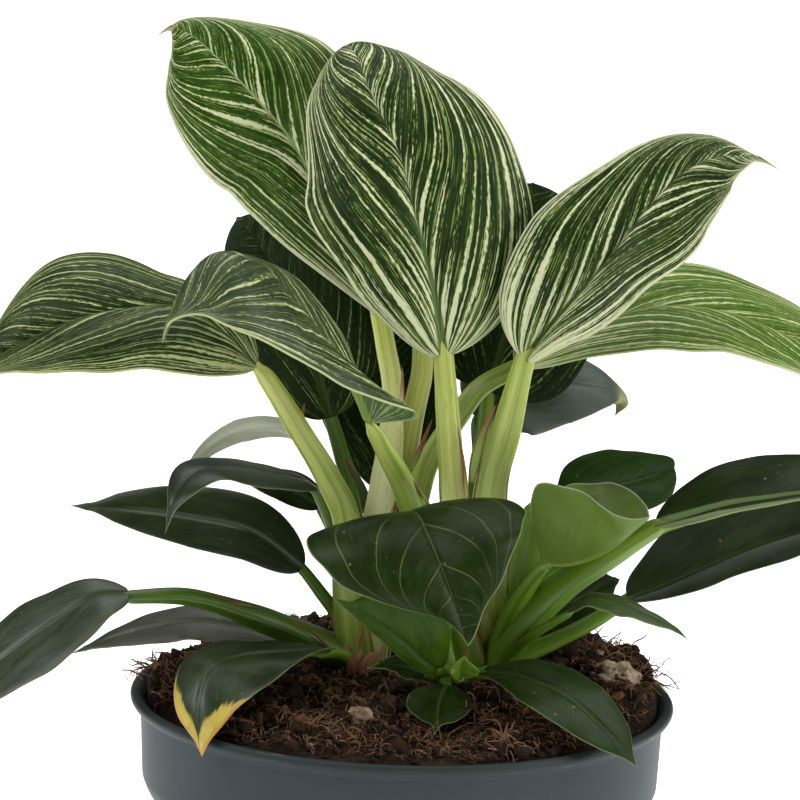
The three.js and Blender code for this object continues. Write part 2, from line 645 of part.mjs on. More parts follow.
// Pumice: rough lumps sunk halfway in the soil, each in a hollow that clears it
const pumice = [
  { name: "pumice_right", at: [46, 3, 109], size: [6.5, 4.5, 4] },
  { name: "pumice_right_small", at: [42.5, 12, 111], size: [2.8, 2.4, 2.4] },
  { name: "pumice_front", at: [-9, -35, 108.6], size: [3, 2.6, 2.4] },
];

function lump(at, size, grown, seed) {
  const ball = new THREE.IcosahedronGeometry(1, 1);
  ball.deleteAttribute("normal");
  ball.deleteAttribute("uv");
  const geometry = mergeVertices(ball);
  const p = geometry.attributes.position;
  for (let i = 0; i < p.count; i += 1) {
    const [x, y, z] = [p.getX(i), p.getY(i), p.getZ(i)];
    const rough = 1 + 0.12 * Math.sin(7 * x + seed) * Math.cos(5 * y + 3 * z);
    p.setXYZ(
      i,
      at[0] + x * (size[0] * rough + grown),
      at[1] + y * (size[1] * rough + grown),
      at[2] + z * (size[2] * rough + grown),
    );
  }
  return toSolid(geometry);
}

pumice.forEach(({ name, at, size }, k) => {
  addMesh(name, toGeometry(lump(at, size, 0, k)), 0xcfc4ab, 0.9);
  soil = soil.subtract(lump(at, size, gap, k));
});
addMesh("soil", toGeometry(soil), 0x3c2618, 0.95);

export default group;
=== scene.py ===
import math
import random

import bmesh
import bpy
import numpy as np
from mathutils import Matrix, Quaternion, Vector, noise


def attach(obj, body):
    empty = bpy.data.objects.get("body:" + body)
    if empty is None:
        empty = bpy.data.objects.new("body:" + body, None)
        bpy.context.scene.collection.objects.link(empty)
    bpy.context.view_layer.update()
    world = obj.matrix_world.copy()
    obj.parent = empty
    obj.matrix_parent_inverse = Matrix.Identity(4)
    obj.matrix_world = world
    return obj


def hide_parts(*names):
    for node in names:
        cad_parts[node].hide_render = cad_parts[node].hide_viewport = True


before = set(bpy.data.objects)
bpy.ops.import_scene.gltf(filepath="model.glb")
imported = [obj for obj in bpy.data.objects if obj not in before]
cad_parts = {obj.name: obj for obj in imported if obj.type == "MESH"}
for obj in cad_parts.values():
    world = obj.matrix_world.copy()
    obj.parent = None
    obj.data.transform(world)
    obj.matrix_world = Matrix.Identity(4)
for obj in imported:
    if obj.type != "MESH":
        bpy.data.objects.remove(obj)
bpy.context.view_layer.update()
mm = 0.001  # the tables below are in millimetres
scene = bpy.context.scene
chance = random.Random(7)


# Camera and light
camera = dict(
    place=(-0.0026, -1.0773, 0.3929),
    looksAt=(-0.0026, 0, 0.1708),
    roll=1.9,  # degrees
    lens=227.1,
    film=36,
)


def makeCamera():
    data = bpy.data.cameras.new("camera")
    data.lens = camera["lens"]
    data.sensor_width = camera["film"]
    data.clip_end = 50
    held = bpy.data.objects.new("camera", data)
    scene.collection.objects.link(held)
    place = Vector(camera["place"])
    gaze = (Vector(camera["looksAt"]) - place).to_track_quat("-Z", "Y")
    turn = gaze @ Quaternion((0, 0, 1), math.radians(camera["roll"]))
    held.matrix_world = Matrix.Translation(place) @ turn.to_matrix().to_4x4()
    scene.camera = held


studio = dict(
    floorSize=12,  # metres across
    floorGlow=0.8,
    skyStrength=0.1,
    softboxes=[
        dict(name="overhead", place=(0.1, 0.35, 1.7), size=1.8, power=24),
        dict(name="left", place=(-1.35, -0.6, 1.4), size=1.1, power=22),
        dict(name="right", place=(1.6, -0.6, 0.95), size=1.1, power=24),
    ],
)


def makeStudio():
    scene.view_settings.view_transform = "Standard"
    for box in studio["softboxes"]:
        lamp = bpy.data.lights.new(box["name"], "AREA")
        lamp.shape = "SQUARE"
        lamp.size = box["size"]
        lamp.energy = box["power"]
        held = bpy.data.objects.new(box["name"], lamp)
        held.location = box["place"]
        aim = Vector((0, 0, 0.15)) - Vector(box["place"])
        held.rotation_euler = aim.to_track_quat("-Z", "Y").to_euler()
        scene.collection.objects.link(held)
    sky = bpy.data.worlds.new("studio")
    sky.use_nodes = True
    sky.node_tree.nodes["Background"].inputs["Color"].default_value = (1, 1, 1, 1)
    sky.node_tree.nodes["Background"].inputs["Strength"].default_value = studio["skyStrength"]
    scene.world = sky


# Finishes: shader sums are written with ordinary operators
class Wire:
    def __init__(self, finish, socket):
        self.finish = finish
        self.socket = socket

    def sum(self, kind, *values):
        return self.finish.node("ShaderNodeMath", {"operation": kind}, dict(enumerate(values)))

    def __add__(self, other):
        return self.sum("ADD", self, other)

    def __sub__(self, other):
        return self.sum("SUBTRACT", self, other)

    def __mul__(self, other):
        return self.sum("MULTIPLY", self, other)

    def __truediv__(self, other):
        return self.sum("DIVIDE", self, other)

    def __radd__(self, other):
        return self.sum("ADD", other, self)

    def __rsub__(self, other):
        return self.sum("SUBTRACT", other, self)

    def __rmul__(self, other):
        return self.sum("MULTIPLY", other, self)

    def __rtruediv__(self, other):
        return self.sum("DIVIDE", other, self)

    def __abs__(self):
        return self.sum("ABSOLUTE", self)

    def most(self, other):
        return self.sum("MAXIMUM", self, other)

    def step(self, low, high):  # 0 before low, 1 after high, smooth between; low may be the larger
        settings = {"interpolation_type": "SMOOTHSTEP"}
        return self.finish.node("ShaderNodeMapRange", settings, {"Value": self, 1: low, 2: high})


class Finish:
    def __init__(self, name, **sockets):
        self.material = bpy.data.materials.new(name)
        self.material.use_nodes = True
        self.tree = self.material.node_tree
        self.tree.nodes.clear()
        self.surface = self.tree.nodes.new("ShaderNodeBsdfPrincipled")
        output = self.tree.nodes.new("ShaderNodeOutputMaterial")
        self.tree.links.new(self.surface.outputs[0], output.inputs["Surface"])
        self.colour = (0, 0, 0)
        self.paint(**sockets)

    def plug(self, socket, value):
        if isinstance(value, Wire):
            self.tree.links.new(value.socket, socket)
        elif isinstance(value, tuple) and socket.type == "RGBA" and len(value) == 3:
            socket.default_value = (*value, 1)
        else:
            socket.default_value = value

    def paint(self, **sockets):
        for name, value in sockets.items():
            self.plug(self.surface.inputs[name.replace("_", " ")], value)

    def node(self, kind, settings, sockets, output=0):
        made = self.tree.nodes.new(kind)
        for name, value in settings.items():
            setattr(made, name, value)
        for name, value in sockets.items():
            self.plug(made.inputs[name], value)
        return Wire(self, made.outputs[output])

    def mix(self, factor, first, second):
        return self.node("ShaderNodeMix", {"data_type": "RGBA"}, {0: factor, 6: first, 7: second}, 2)

    def coat(self, mask, colour):  # laid over the coats before it
        self.colour = self.mix(mask, self.colour, colour)

    def parts(self, attribute):  # the three numbers that a mesh keeps at each point under one name
        whole = self.node("ShaderNodeAttribute", {"attribute_name": attribute}, {}, "Vector")
        return [self.node("ShaderNodeSeparateXYZ", {}, {0: whole}, axis) for axis in range(3)]

    def place(self):
        return self.node("ShaderNodeTexCoord", {}, {}, "Object")

    def point(self, x, y, z):
        return self.node("ShaderNodeCombineXYZ", {}, {0: x, 1: y, 2: z})

    def noise(self, vector, scale=1, detail=1, roughness=0.5):
        sockets = {"Vector": vector, "Scale": scale, "Detail": detail, "Roughness": roughness}
        return self.node("ShaderNodeTexNoise", {}, sockets)

    def cells(self, vector, scale):
        return self.node("ShaderNodeTexVoronoi", {}, {"Vector": vector, "Scale": scale})

    def strands(self, place):  # scattered lines: how far off the nearest is, and a number of its own
        gap = self.node("ShaderNodeTexVoronoi", {"voronoi_dimensions": "1D"}, {"W": place, "Scale": 1})
        return gap, Wire(self, gap.socket.node.outputs["W"])

    def bump(self, height, strength, distance):
        sockets = {"Height": height, "Strength": strength, "Distance": distance}
        self.paint(Normal=self.node("ShaderNodeBump", {}, sockets))


def floorFinish():
    pale = Finish("studioFloor", Roughness=0.9)
    patch = pale.noise(pale.place(), 3, 2)
    pale.paint(Base_Color=pale.mix(patch, (0.94, 0.94, 0.94), (0.97, 0.97, 0.97)))
    pale.paint(Emission_Color=(1, 1, 1), Emission_Strength=studio["floorGlow"])
    return pale.material


def makeFloor():
    half = studio["floorSize"] / 2
    mesh = bpy.data.meshes.new("floor")
    mesh.from_pydata([(-half, -half, 0), (half, -half, 0), (half, half, 0), (-half, half, 0)], [],
                     [(0, 1, 2, 3)])
    mesh.materials.append(floorFinish())
    floor = bpy.data.objects.new("floor", mesh)
    scene.collection.objects.link(floor)


# Meshes
def makePiece(name, points, faces, finish, replaced=(), shades=None):
    mesh = bpy.data.meshes.new(name)
    mesh.from_pydata((np.asarray(points) * mm).tolist(), [], faces)
    mesh.validate()
    for key, values in (shades or {}).items():  # three numbers at each point, for its finish
        layer = mesh.attributes.new(key, "FLOAT_VECTOR", "POINT")
        layer.data.foreach_set("vector", np.asarray(values, np.float32).ravel())
    mesh.materials.append(finish)
    mesh.polygons.foreach_set("use_smooth", [True] * len(mesh.polygons))
    mesh.update()
    piece = bpy.data.objects.new(name, mesh)
    scene.collection.objects.link(piece)
    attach(piece, "root")
    if replaced:
        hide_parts(*replaced)
    return piece


class Heap:  # loose meshes gathered into one piece
    def __init__(self):
        self.points = []
        self.faces = []
        self.shades = {}
        self.count = 0

    def add(self, points, faces, **shades):
        self.points.append(np.asarray(points, float))
        self.faces += [[corner + self.count for corner in face] for face in faces]
        self.count += len(points)
        for key, values in shades.items():
            self.shades.setdefault(key, []).append(np.asarray(values, float).reshape(-1, 3))

    def piece(self, name, finish, slot, replaced=()):
        shades = {key: np.vstack(values) for key, values in self.shades.items()}
        return makePiece(name, np.vstack(self.points), self.faces, finish, replaced, shades)


def unit(v):
    return v / np.linalg.norm(v, axis=-1, keepdims=True)


def smooth(value, low=0.0, high=1.0):
    t = np.clip((np.asarray(value, float) - low) / (high - low), 0, 1)
    return t * t * (3 - 2 * t)


def spread(value, s):  # one number, or numbers spread evenly from start to end
    s = np.asarray(s, float)
    if isinstance(value, (int, float)):
        return np.full(s.shape, float(value))
    value = np.array(value, float)
    place = np.clip(s, 0, 1) * (len(value) - 1)
    cell = np.minimum(place.astype(int), len(value) - 2)
    t = smooth(place - cell)
    return value[cell] * (1 - t) + value[cell + 1] * t


class Route:  # a smooth line through points, read by its length from 0 to 1
    def __init__(self, points):
        knots = np.array(points, float)
        self.knots = np.vstack([2 * knots[0] - knots[1], knots, 2 * knots[-1] - knots[-2]])
        self.steps = np.linspace(0, 1, 241)
        walked = np.cumsum(np.linalg.norm(np.diff(self.raw(self.steps), axis=0), axis=1))
        self.length = walked[-1]
        self.reach = np.concatenate([[0], walked / self.length])

    def raw(self, t, slope=False):
        cells = len(self.knots) - 3
        place = np.clip(t, 0, 1) * cells
        cell = np.minimum(place.astype(int), cells - 1)
        w = (place - cell)[..., None]
        a, b, c, d = (self.knots[cell + k] for k in range(4))
        start = (c - a) / 2
        end = (d - b) / 2
        two = 3 * (c - b) - 2 * start - end
        three = 2 * (b - c) + start + end
        if slope:
            return start + 2 * two * w + 3 * three * w * w
        return b + start * w + two * w * w + three * w ** 3

    def at(self, s):
        return self.raw(np.interp(s, self.reach, self.steps))

    def heading(self, s):
        return unit(self.raw(np.interp(s, self.reach, self.steps), slope=True))


def facing(turn, rise):
    turn = math.radians(turn)
    rise = math.radians(rise)
    return np.array([math.sin(turn) * math.cos(rise), -math.cos(turn) * math.cos(rise), math.sin(rise)])


def gridFaces(rows, columns, at):
    return [
        (at(i, j), at(i, j + 1), at(i + 1, j + 1), at(i + 1, j))
        for i in range(rows) for j in range(columns)
    ]


def tubeFaces(rings, sides):  # between rings of points that follow one another
    return gridFaces(rings - 1, sides, lambda i, k: i * sides + k % sides)


def closedTube(rings, sides):
    return tubeFaces(rings, sides) + [
        tuple(reversed(range(sides))),
        tuple(range((rings - 1) * sides, rings * sides)),
    ]


# Leaves: each has its midrib from stalk to tip, the way its face looks along it in degrees, its width
# left and right of the midrib, the fold at the midrib, the curl of each half, and its stalk down to the
# soil. A leaf with rims has its left and right margin drawn point by point, with a bulge between.
leafTable = [
    dict(
        name="front_tall", shoot="right", look="striped", hook=(0, 0, -1), tipDraw=0.2, widest=0.42,
        spine=[(6.5, -8.5, 182.5), (4, -7, 196), (-1, -4, 214), (-4.5, 0, 225), (-10.5, 6, 236),
            (-14, 13, 243), (-16.5, 20, 245.5), (-18, 26, 241.5)],
        face=[(0, 12), (0, 20), (-5, 30), (-10, 60)],
        width=[(16.5, 19, 23.5, 21.5, 18), (25, 27, 26, 23.5, 20)], fold=[(25, 8, 5), 8], curl=[-35, -38],
        stalk=[(8, -8, 168), (10, -6, 150), (14, -3, 132), (17, 1, 113)], thick=[4.4, 5.5, 8, 9],
    ),
    dict(
        name="top_left", shoot="left", look="brightBacklit", hook=(0.3, 0, -3), tipDraw=0.08, ripple=0.2,
        widest=0.6,
        spine=[(-8, 6, 189), (-17, 10, 205.5), (-24, 15, 217.5), (-30, 18, 226.5), (-44, 21, 240.6),
            (-52, 22.3, 246.8), (-59, 22.5, 248.5)],
        face=[(-10, 5), (-10, 15), (-20, 40)], width=[(15, 17, 19.5, 19.5), (20, 21, 21, 12)],
        fold=[(55, 15, 0), (30, 10, 5)], curl=[-20, -45],
        stalk=[(-6, 5, 181), (-4.3, 4, 172), (-4.5, 2, 159), (-6, 1, 146), (-7, 1, 125), (-8, 2, 110)],
        thick=[4.2, 4.6, 6.5, 9, 9],
    ),
    dict(
        name="upper_right", shoot="right", look="striped", hook=(1.5, 0, -2.5), widest=0.4,
        spine=[(24, -12, 183), (30, -10, 191), (38, -9, 201), (53, -4, 220), (64, 0, 226.5), (77, 2, 226)],
        face=[(0, 10), (5, 15), (15, 60)], width=[(19, 18.5, 15, 15), (13, 13, 16, 22)],
        fold=[10, (75, 55, 15, 5)], curl=[-30, -30],
        stalk=[(20.6, -10, 167), (17.8, -7, 153), (18, -4, 134), (18, 2, 112)], thick=[4.4, 6.8, 9, 9.5],
    ),
    dict(
        name="right_pale", shoot="left", look="glowingBacklit",
        spine=[(22.5, 0, 179.5), (36, 3, 187), (51.5, 6, 192), (66.5, 8, 191.5), (82.5, 8, 186),
            (98, 6, 177.5), (108, 3, 169.5)],
        face=[(0, 50), (0, 60)], width=[15, (13, 16, 15, 10.5)], fold=[5, (35, 20, 10)], curl=[-25, -25],
        stalk=[(15, 2, 174), (10, 2, 167), (4, 1, 157), (1, 0, 146), (-5, 1, 126), (-7, 2, 110)],
        thick=[4.2, 5, 6, 8],
    ),
    dict(
        name="far_left", shoot="left", look="streaked", joint=0.01,
        spine=[(-33.7, -17, 181), (-41, -17, 188), (-51, -18, 193.5), (-66.5, -20, 192), (-77.5, -20, 188),
            (-88.5, -20, 181.5), (-96.5, -17, 172.5)],
        face=[(-10, 42), (-25, 42)], bulge=[0.12, (0.05, 0.12, 0.1)],
        rims=[
            [(-34, -18.5, 180), (-37, -22, 179.6), (-43.6, -26, 179.8), (-49.4, -29, 180.8),
            (-55.7, -31, 181.7), (-62, -32, 181.6), (-70.4, -32, 181.1), (-79, -31, 180.2),
            (-85.4, -29, 179.6), (-91, -26, 178)],
            [(-33.2, -15.5, 182.5), (-35.5, -13, 189), (-41, -11.5, 194.5), (-50, -10, 198),
            (-55, -9, 199.2), (-60.5, -6, 200.5), (-66.5, -4, 201.7), (-72.5, -4, 201.7),
            (-78.5, -6, 200.2), (-83.5, -9, 196.8), (-88, -13, 190)],
        ],
        stalk=[(-30.3, -14, 176), (-23.8, -10, 165), (-17.8, -8, 155), (-13.2, -5, 144), (-12, -3, 126),
            (-10, 0, 110)], thick=[4, 5, 6, 7.5, 9],
    ),
    dict(
        name="arching", shoot="right", look="sheened", joint=0.012,
        spine=[(-8.7, -19, 170), (-11.5, -21, 176.5), (-14.5, -22.5, 182.5), (-20, -25.5, 189.5),
            (-27, -30, 199.5), (-31.5, -33, 205), (-39, -37.5, 209), (-44, -40, 208.3), (-48.5, -43, 203),
            (-51.5, -45, 195.5), (-52.5, -46, 190.5)],
        face=[(-10, 85), (-10, 62), (-20, 28), (-40, 35)], bulge=[(0, 0.1, 0.12), (0, 0.02, 0.05)],
        rims=[
            [(-7.5, -20.5, 169.8), (-4, -22, 170.5), (0.5, -24, 171.5), (0.5, -25.5, 173.5),
            (-7, -30, 176.5), (-16, -35, 181.5), (-26, -42, 188), (-33.5, -46, 192.5),
            (-39.5, -48.5, 195.5), (-44, -50, 197.5), (-48, -49.5, 197), (-51, -48, 195)],
            [(-8, -18, 170.5), (-5, -17.5, 171), (-1, -17, 173), (-5, -15, 175), (-11, -12, 179),
            (-14, -12, 184), (-17, -13, 189), (-20, -15, 194), (-24.5, -18, 199.5), (-29, -23, 203.5),
            (-35, -29, 206), (-42, -35, 205), (-48, -41, 200)],
        ],
        stalk=[(-6.6, -16, 165.3), (-2.1, -12, 157), (1.9, -8, 147.6), (8, -6, 136), (15, -2, 113)],
        thick=[3.6, 5.8, 7.4, 8.2, 9],
    ),
    dict(
        name="back_left", shoot="left", look="shaded", full=0.95, mucro=0.8, tipDraw=0.1, widest=0.5,
        spine=[(-18, 16, 163), (-23, 22, 178), (-28, 27, 190), (-40.5, 36, 204)],
        face=[(-10, 5), (-10, 20)], width=[(14, 14.5, 14), (17, 17, 14)],
        stalk=[(-15, 13, 155), (-13, 10, 149), (-11, 6, 133), (-9, 4, 110)], thick=[3.2, 4, 6, 7],
    ),
    dict(
        name="back_right", shoot="right", look="hookedGreySheen", ripple=0, mucroHalf=1.1,
        spine=[(15, 16, 163.5), (20.5, 20, 168.5), (29.5, 26, 170.2), (39, 31, 169.3), (45.3, 34, 167.6),
            (47.2, 35.4, 165), (46, 35.8, 161.5)],
        face=[(10, 30), (20, 60)], width=[13, (13, 11, 10)],
        stalk=[(16, 12, 153), (18, 8, 134), (19, 4, 112)], thick=[3.2, 4, 6, 7],
    ),
    dict(
        name="back_tall", shoot="right", look="shaded", tipDraw=0, full=0.8, mucro=0.5,
        spine=[(17, 16, 170), (20, 22, 180.5), (24, 29, 195.5), (25.5, 36, 214)],
        face=[(10, 5), (10, 25)], width=[20, 20],
        stalk=[(16, 12, 160), (15, 9, 152), (16, 6, 132), (18, 4, 112)], thick=[3.2, 4, 6, 7],
    ),
    dict(
        name="back_hidden", shoot="left", look="shaded",
        spine=[(2, 10, 182), (3, 18, 200), (4, 25, 214), (4, 34, 228)],
        face=[(0, 5), (0, 30)], width=[17, 17],
        stalk=[(2, 9, 175), (0.5, 7, 167), (-1, 5, 157), (-3, 4, 145), (-6, 4, 125), (-7, 4, 110)],
        thick=[4.6, 5, 5.4, 7, 8],
    ),
    dict(
        name="back_middle", shoot="left", look="shaded", mucro=0.5, full=0.9, tipDraw=0.1, widest=0.45,
        spine=[(-5.3, 24, 145.7), (-6.6, 28, 155.7), (-8.1, 32, 166.3), (-8.5, 38, 185)],
        face=[(0, 5), (0, 20)], width=[(8, 13, 14), (12, 16.5, 17)],
        stalk=[(-5.5, 18, 134), (-6, 11, 122), (-7, 5, 110)], thick=[3, 4, 5],
    ),
    dict(
        name="low_far_left", shoot="left", look="slatyGreySheen",
        spine=[(-59.5, -22, 131), (-66.5, -24, 130.5), (-74, -26, 126), (-82.5, -28, 120),
            (-90.5, -29, 113.5), (-99, -29, 106), (-106.5, -28, 98)],
        face=[(-10, 68), (-15, 68)], width=[(12, 13, 14), (9, 11, 13)], fold=[10, 10],
        stalk=[(-47, -19, 130), (-34, -14, 125.5), (-22, -6, 119), (-12, 0, 113)], thick=[3.3, 4.5, 7, 9],
    ),
    dict(
        name="low_left_back", shoot="left", look="glossyGreen",
        spine=[(-23, 2, 132), (-34, 5, 139), (-46, 8, 141), (-60, 10, 142), (-75, 12, 142)],
        face=[(0, 20), (0, 30)], width=[7, 7.5], curl=[-15, -15],
        stalk=[(-19, 2, 127), (-14, 2, 120), (-10, 2, 109)], thick=[2.4, 3, 4],
    ),
    dict(
        name="low_left_folded", shoot="left", look="hazyGreySheen", ripple=0.1,
        spine=[(-20, 5, 149), (-23.5, 3, 151.5), (-31, -2, 154), (-40, -8, 156), (-46, -14, 156.5),
            (-50, -20, 152.5), (-52, -23, 144.5)],
        face=[(0, 84), (0, 80), (-50, 40)], width=[11, (10, 9, 8, 6)], fold=[10, 10], curl=[-25, -25],
        stalk=[(-16, 4, 139), (-13, 2, 125), (-10, 0, 110)], thick=[2.4, 3, 4],
    ),
    dict(
        name="low_left_hidden", shoot="left", look="green", ripple=0, mucro=1,
        spine=[(-19.5, 12, 144), (-26, 12, 147.5), (-32.5, 11, 149), (-38, 10, 150.5)],
        face=[(0, 40), (0, 60)], width=[(3.5, 4, 3.5), 5],
        stalk=[(-15, 9, 135), (-12, 6, 123), (-9, 3, 110)], thick=[2.4, 3, 4],
    ),
    dict(
        name="left_pale_back", shoot="left", look="paleBackSheen", ripple=0.1,
        spine=[(-21.5, 12, 158), (-28, 16, 160.6), (-37, 22, 158.6), (-45, 27, 153), (-52, 30, 144)],
        face=[(170, 30), (170, 10)], width=[2.6, 3], fold=[0, 0], curl=[-10, -10],
        stalk=[(-16, 9, 145.5), (-12, 5, 129), (-9, 4, 110)], thick=[2.4, 3, 4],
    ),
    dict(
        name="soil_left", shoot="left", look="dustAndSheen",
        spine=[(-26.5, 4, 115), (-36.5, 7, 117), (-47.5, 10, 117), (-61, 12, 113.5), (-74.5, 14, 107.5)],
        face=[(0, 62), (0, 62)], width=[6, 6],
        stalk=[(-19, 3, 115), (-11, 2, 113)], thick=[2.6, 3.2, 4],
    ),
    dict(
        name="yellow_tip", shoot="left", look="yellowing", mucro=2.5,
        spine=[(-17, -17, 118.5), (-26.5, -24, 119.5), (-36, -31, 120), (-41, -37, 119), (-43, -42, 114),
            (-43, -45, 108), (-42, -47, 102)],
        face=[(-5, 60), (-20, 50), (-20, 15)], width=[(3, 9, 15, 14), (8, 9.5, 12)], fold=[5, -10],
        bulge=[(0, 0.08, 0.06)],
        rims=[
            [(-14.5, -18.5, 119.5), (-17.5, -22, 119.8), (-21.5, -27, 118.8), (-26.3, -33, 116.5),
            (-30.7, -38.5, 114.3), (-34.8, -43, 111.7), (-37.9, -46, 108.6), (-40.3, -47.5, 105.7)],
        ],
        stalk=[(-14, -11, 116.5), (-9.5, -5, 113)], thick=[2.4, 3, 4],
    ),
    dict(
        name="front_dark", shoot="front", look="veined",
        spine=[(-1, -21, 148.5), (0, -24.5, 151.3), (2, -29, 152), (4, -35, 149.5), (7, -40, 144),
            (10.5, -43, 136), (13.5, -45, 127.5)],
        face=[(0, 80), (0, 60), (0, 30), (0, 10)], bulge=[(0.08, 0.14, 0.1), (0.04, 0.12, 0.1)],
        rims=[
            [(2, -20.5, 150), (9, -20.5, 151.5), (16, -21.5, 153.5), (21.5, -24.5, 155), (25, -28, 153.3),
            (24.5, -32, 152), (23.8, -36, 149.7), (22, -39, 146), (20, -41, 140.5), (17, -43, 136),
            (15.8, -44, 132.5), (14.7, -45, 129.5)],
            [(-3, -22, 148.5), (-12.5, -24.5, 147.5), (-19, -28, 147), (-21.5, -32, 146.3),
            (-20.5, -36, 144.3), (-17.5, -39, 142), (-14, -41, 139), (-8.5, -43, 137), (-1, -44, 135),
            (7, -45, 133.5), (11, -45, 131)],
        ],
        stalk=[(5, -18, 138), (8, -17, 124), (9, -16, 112)], thick=[3, 4, 5],
    ),
    dict(
        name="front_left", shoot="front", look="fresh",
        spine=[(8, -24, 116.5), (4.5, -27, 119.5), (-3, -30, 126.5), (-16, -33, 134.5)],
        face=[(-10, 10), (-10, 10)], width=[3, (9, 11, 12)],
        stalk=[(9, -19, 115), (9, -16, 112)], thick=[2.6, 3, 3.5],
    ),
    dict(
        name="right_young", shoot="right", look="young",
        spine=[(30, -14.6, 139.5), (36.3, -15.9, 140), (43.8, -18.8, 144), (51.8, -21.6, 151.5)],
        face=[(0, 85), (0, 80)], bulge=[-0.12, -0.16],
        rims=[
            [(30, -13, 140.5), (30.5, -10, 144), (31, -6, 150), (34, -3, 153.5), (39, -2, 154.3),
            (44, -4, 154.7), (48, -9, 154.4), (51, -15, 152.8)],
            [(29, -15.5, 140), (28, -18, 144), (26.5, -21, 150), (26, -23, 154.5), (27, -25, 158),
            (29, -26, 159), (32, -27, 159), (37, -28, 158), (41, -28, 155), (44, -27, 153),
            (48, -25, 151.7)],
        ],
        stalk=[(27, -12, 134), (23, -7, 125), (19, -1, 112)], thick=[3.4, 5, 5.5],
    ),
    dict(
        name="right_sliver", shoot="right", look="tenderPaintedLight", mucro=1, widest=0.5,
        spine=[(24.5, -5, 126), (25, -5, 134), (25.6, -5, 142.5), (26.4, -5, 150)],
        face=[(10, 20), (10, 20)], width=[(6.5, 5.5, 5), 5], fold=[0, 0], curl=[-10, -10],
        stalk=[(22, -2, 119), (19, 1, 112)], thick=[2.4, 3, 4],
    ),
    dict(
        name="right_back", shoot="right", look="shadyGreen", mucro=0.5,
        spine=[(35, 12, 147), (42, 17, 148.5), (51, 23, 149.5), (59.6, 30, 151)],
        face=[(0, 30), (10, 40)], bulge=[0.05, 0.08],
        rims=[
            [(32.6, 14, 149), (34.1, 17, 153), (37.8, 20, 155.3), (43.7, 24, 156), (50.6, 27, 155.4),
            (55.4, 29, 154.4), (59, 30, 153.3)],
            [(36.9, 13, 145.5), (43.8, 18, 143.2), (51.8, 22, 142.5), (58.2, 26, 144.6), (60, 29, 148)],
        ],
        stalk=[(34, 10, 133), (27, 6, 123), (20, 3, 112)], thick=[2.8, 3.5, 5],
    ),
    dict(
        name="right_low", shoot="right", look="keeled", keel=2.6,
        spine=[(53.5, -14, 148), (61, -16, 151), (69, -18, 154), (77, -20, 156), (84, -21, 157.5),
            (96.5, -22, 159), (111.5, -22, 157.5)],
        face=[(0, 52), (0, 55)], width=[15, (2.4, 2.4, 3, 4.5)], fold=[0, (40, 40)], curl=[-20, -30],
        stalk=[(43, -13, 140.5), (34, -11, 133.3), (26, -8, 124), (19, -2, 112)], thick=[4.2, 6.8, 8, 9.5],
    ),
    dict(
        name="right_lowest", shoot="right", look="speckledSheen", widest=0.35,
        spine=[(49, 2, 127.5), (56, 3, 130), (64.5, 4, 134), (77.5, 5, 140), (95, 4, 146), (109, 2, 149)],
        face=[(0, 30), (0, 30)], width=[(10, 16, 16), (4, 6, 9, 10)], fold=[0, 40],
        stalk=[(41, 1, 122), (32, 1, 117), (21, 1, 112)], thick=[3, 3.6, 5],
    ),
    dict(
        name="right_small", shoot="right", look="soft",
        spine=[(35, -20, 130), (40, -22, 133.5), (48, -25, 132.5), (57, -28, 129), (61, -30, 126.5)],
        face=[(0, 75), (0, 75)], width=[2.5, 4.5],
        stalk=[(29, -15, 124), (24, -9, 118), (19, -3, 112)], thick=[2.2, 2.8, 4],
    ),
    dict(
        name="right_behind", shoot="right", look="green", mucro=1,
        spine=[(31, 12, 119.5), (36.5, 15, 122.5), (43, 19, 125.5), (48, 22, 127)],
        face=[(0, 20), (0, 20)], width=[7, 7], curl=[-10, -10],
        stalk=[(26, 8, 118), (20, 4, 115)], thick=[2.4, 3, 4],
    ),
    dict(
        name="over_lip", shoot="front", look="speckledGreen", mucro=2, widest=0.5,
        spine=[(17, -23, 116.5), (25, -31, 118), (35, -40, 116), (44, -47, 110), (50, -51, 104)],
        face=[(10, 50), (20, 50)], width=[(7, 8, 8), (4, 7.5, 7.5)],
        stalk=[(13, -19, 115), (10, -16, 112)], thick=[2.4, 3, 3.5],
    ),
    dict(
        name="on_soil", shoot="front", look="green",
        spine=[(9.5, -24, 113.5), (8, -30, 111), (7.5, -37, 108.5), (7, -42, 107)],
        face=[(0, 65), (0, 65)], width=[7, 7], fold=[0, 0], curl=[-10, -10],
        stalk=[(9.5, -20, 113.5), (9, -17, 112)], thick=[2.2, 2.6, 3],
    ),
    dict(
        name="sprout", shoot="front", look="tenderPaintedLight", mucro=0.8, widest=0.45,
        spine=[(12.5, -24, 115.2), (12.6, -25, 117), (12.8, -26, 119), (13.2, -27, 120.8)],
        face=[(10, 30), (10, 30)], width=[2.6, 3.6], fold=[30, 30],
        stalk=[(11, -20, 113.5), (9, -17, 112)], thick=[2, 2.6, 3],
    ),
    dict(
        name="low_thin", shoot="front", look="green",
        spine=[(4.5, -20, 115), (1, -22, 116.5), (-3, -24, 117.5), (-8, -27, 117.2)],
        face=[(0, 40), (0, 40)], width=[2.6, 2.6], fold=[10, 10],
        stalk=[(7, -18, 113.5), (9, -16, 112)], thick=[2, 2.6, 3],
    ),
]


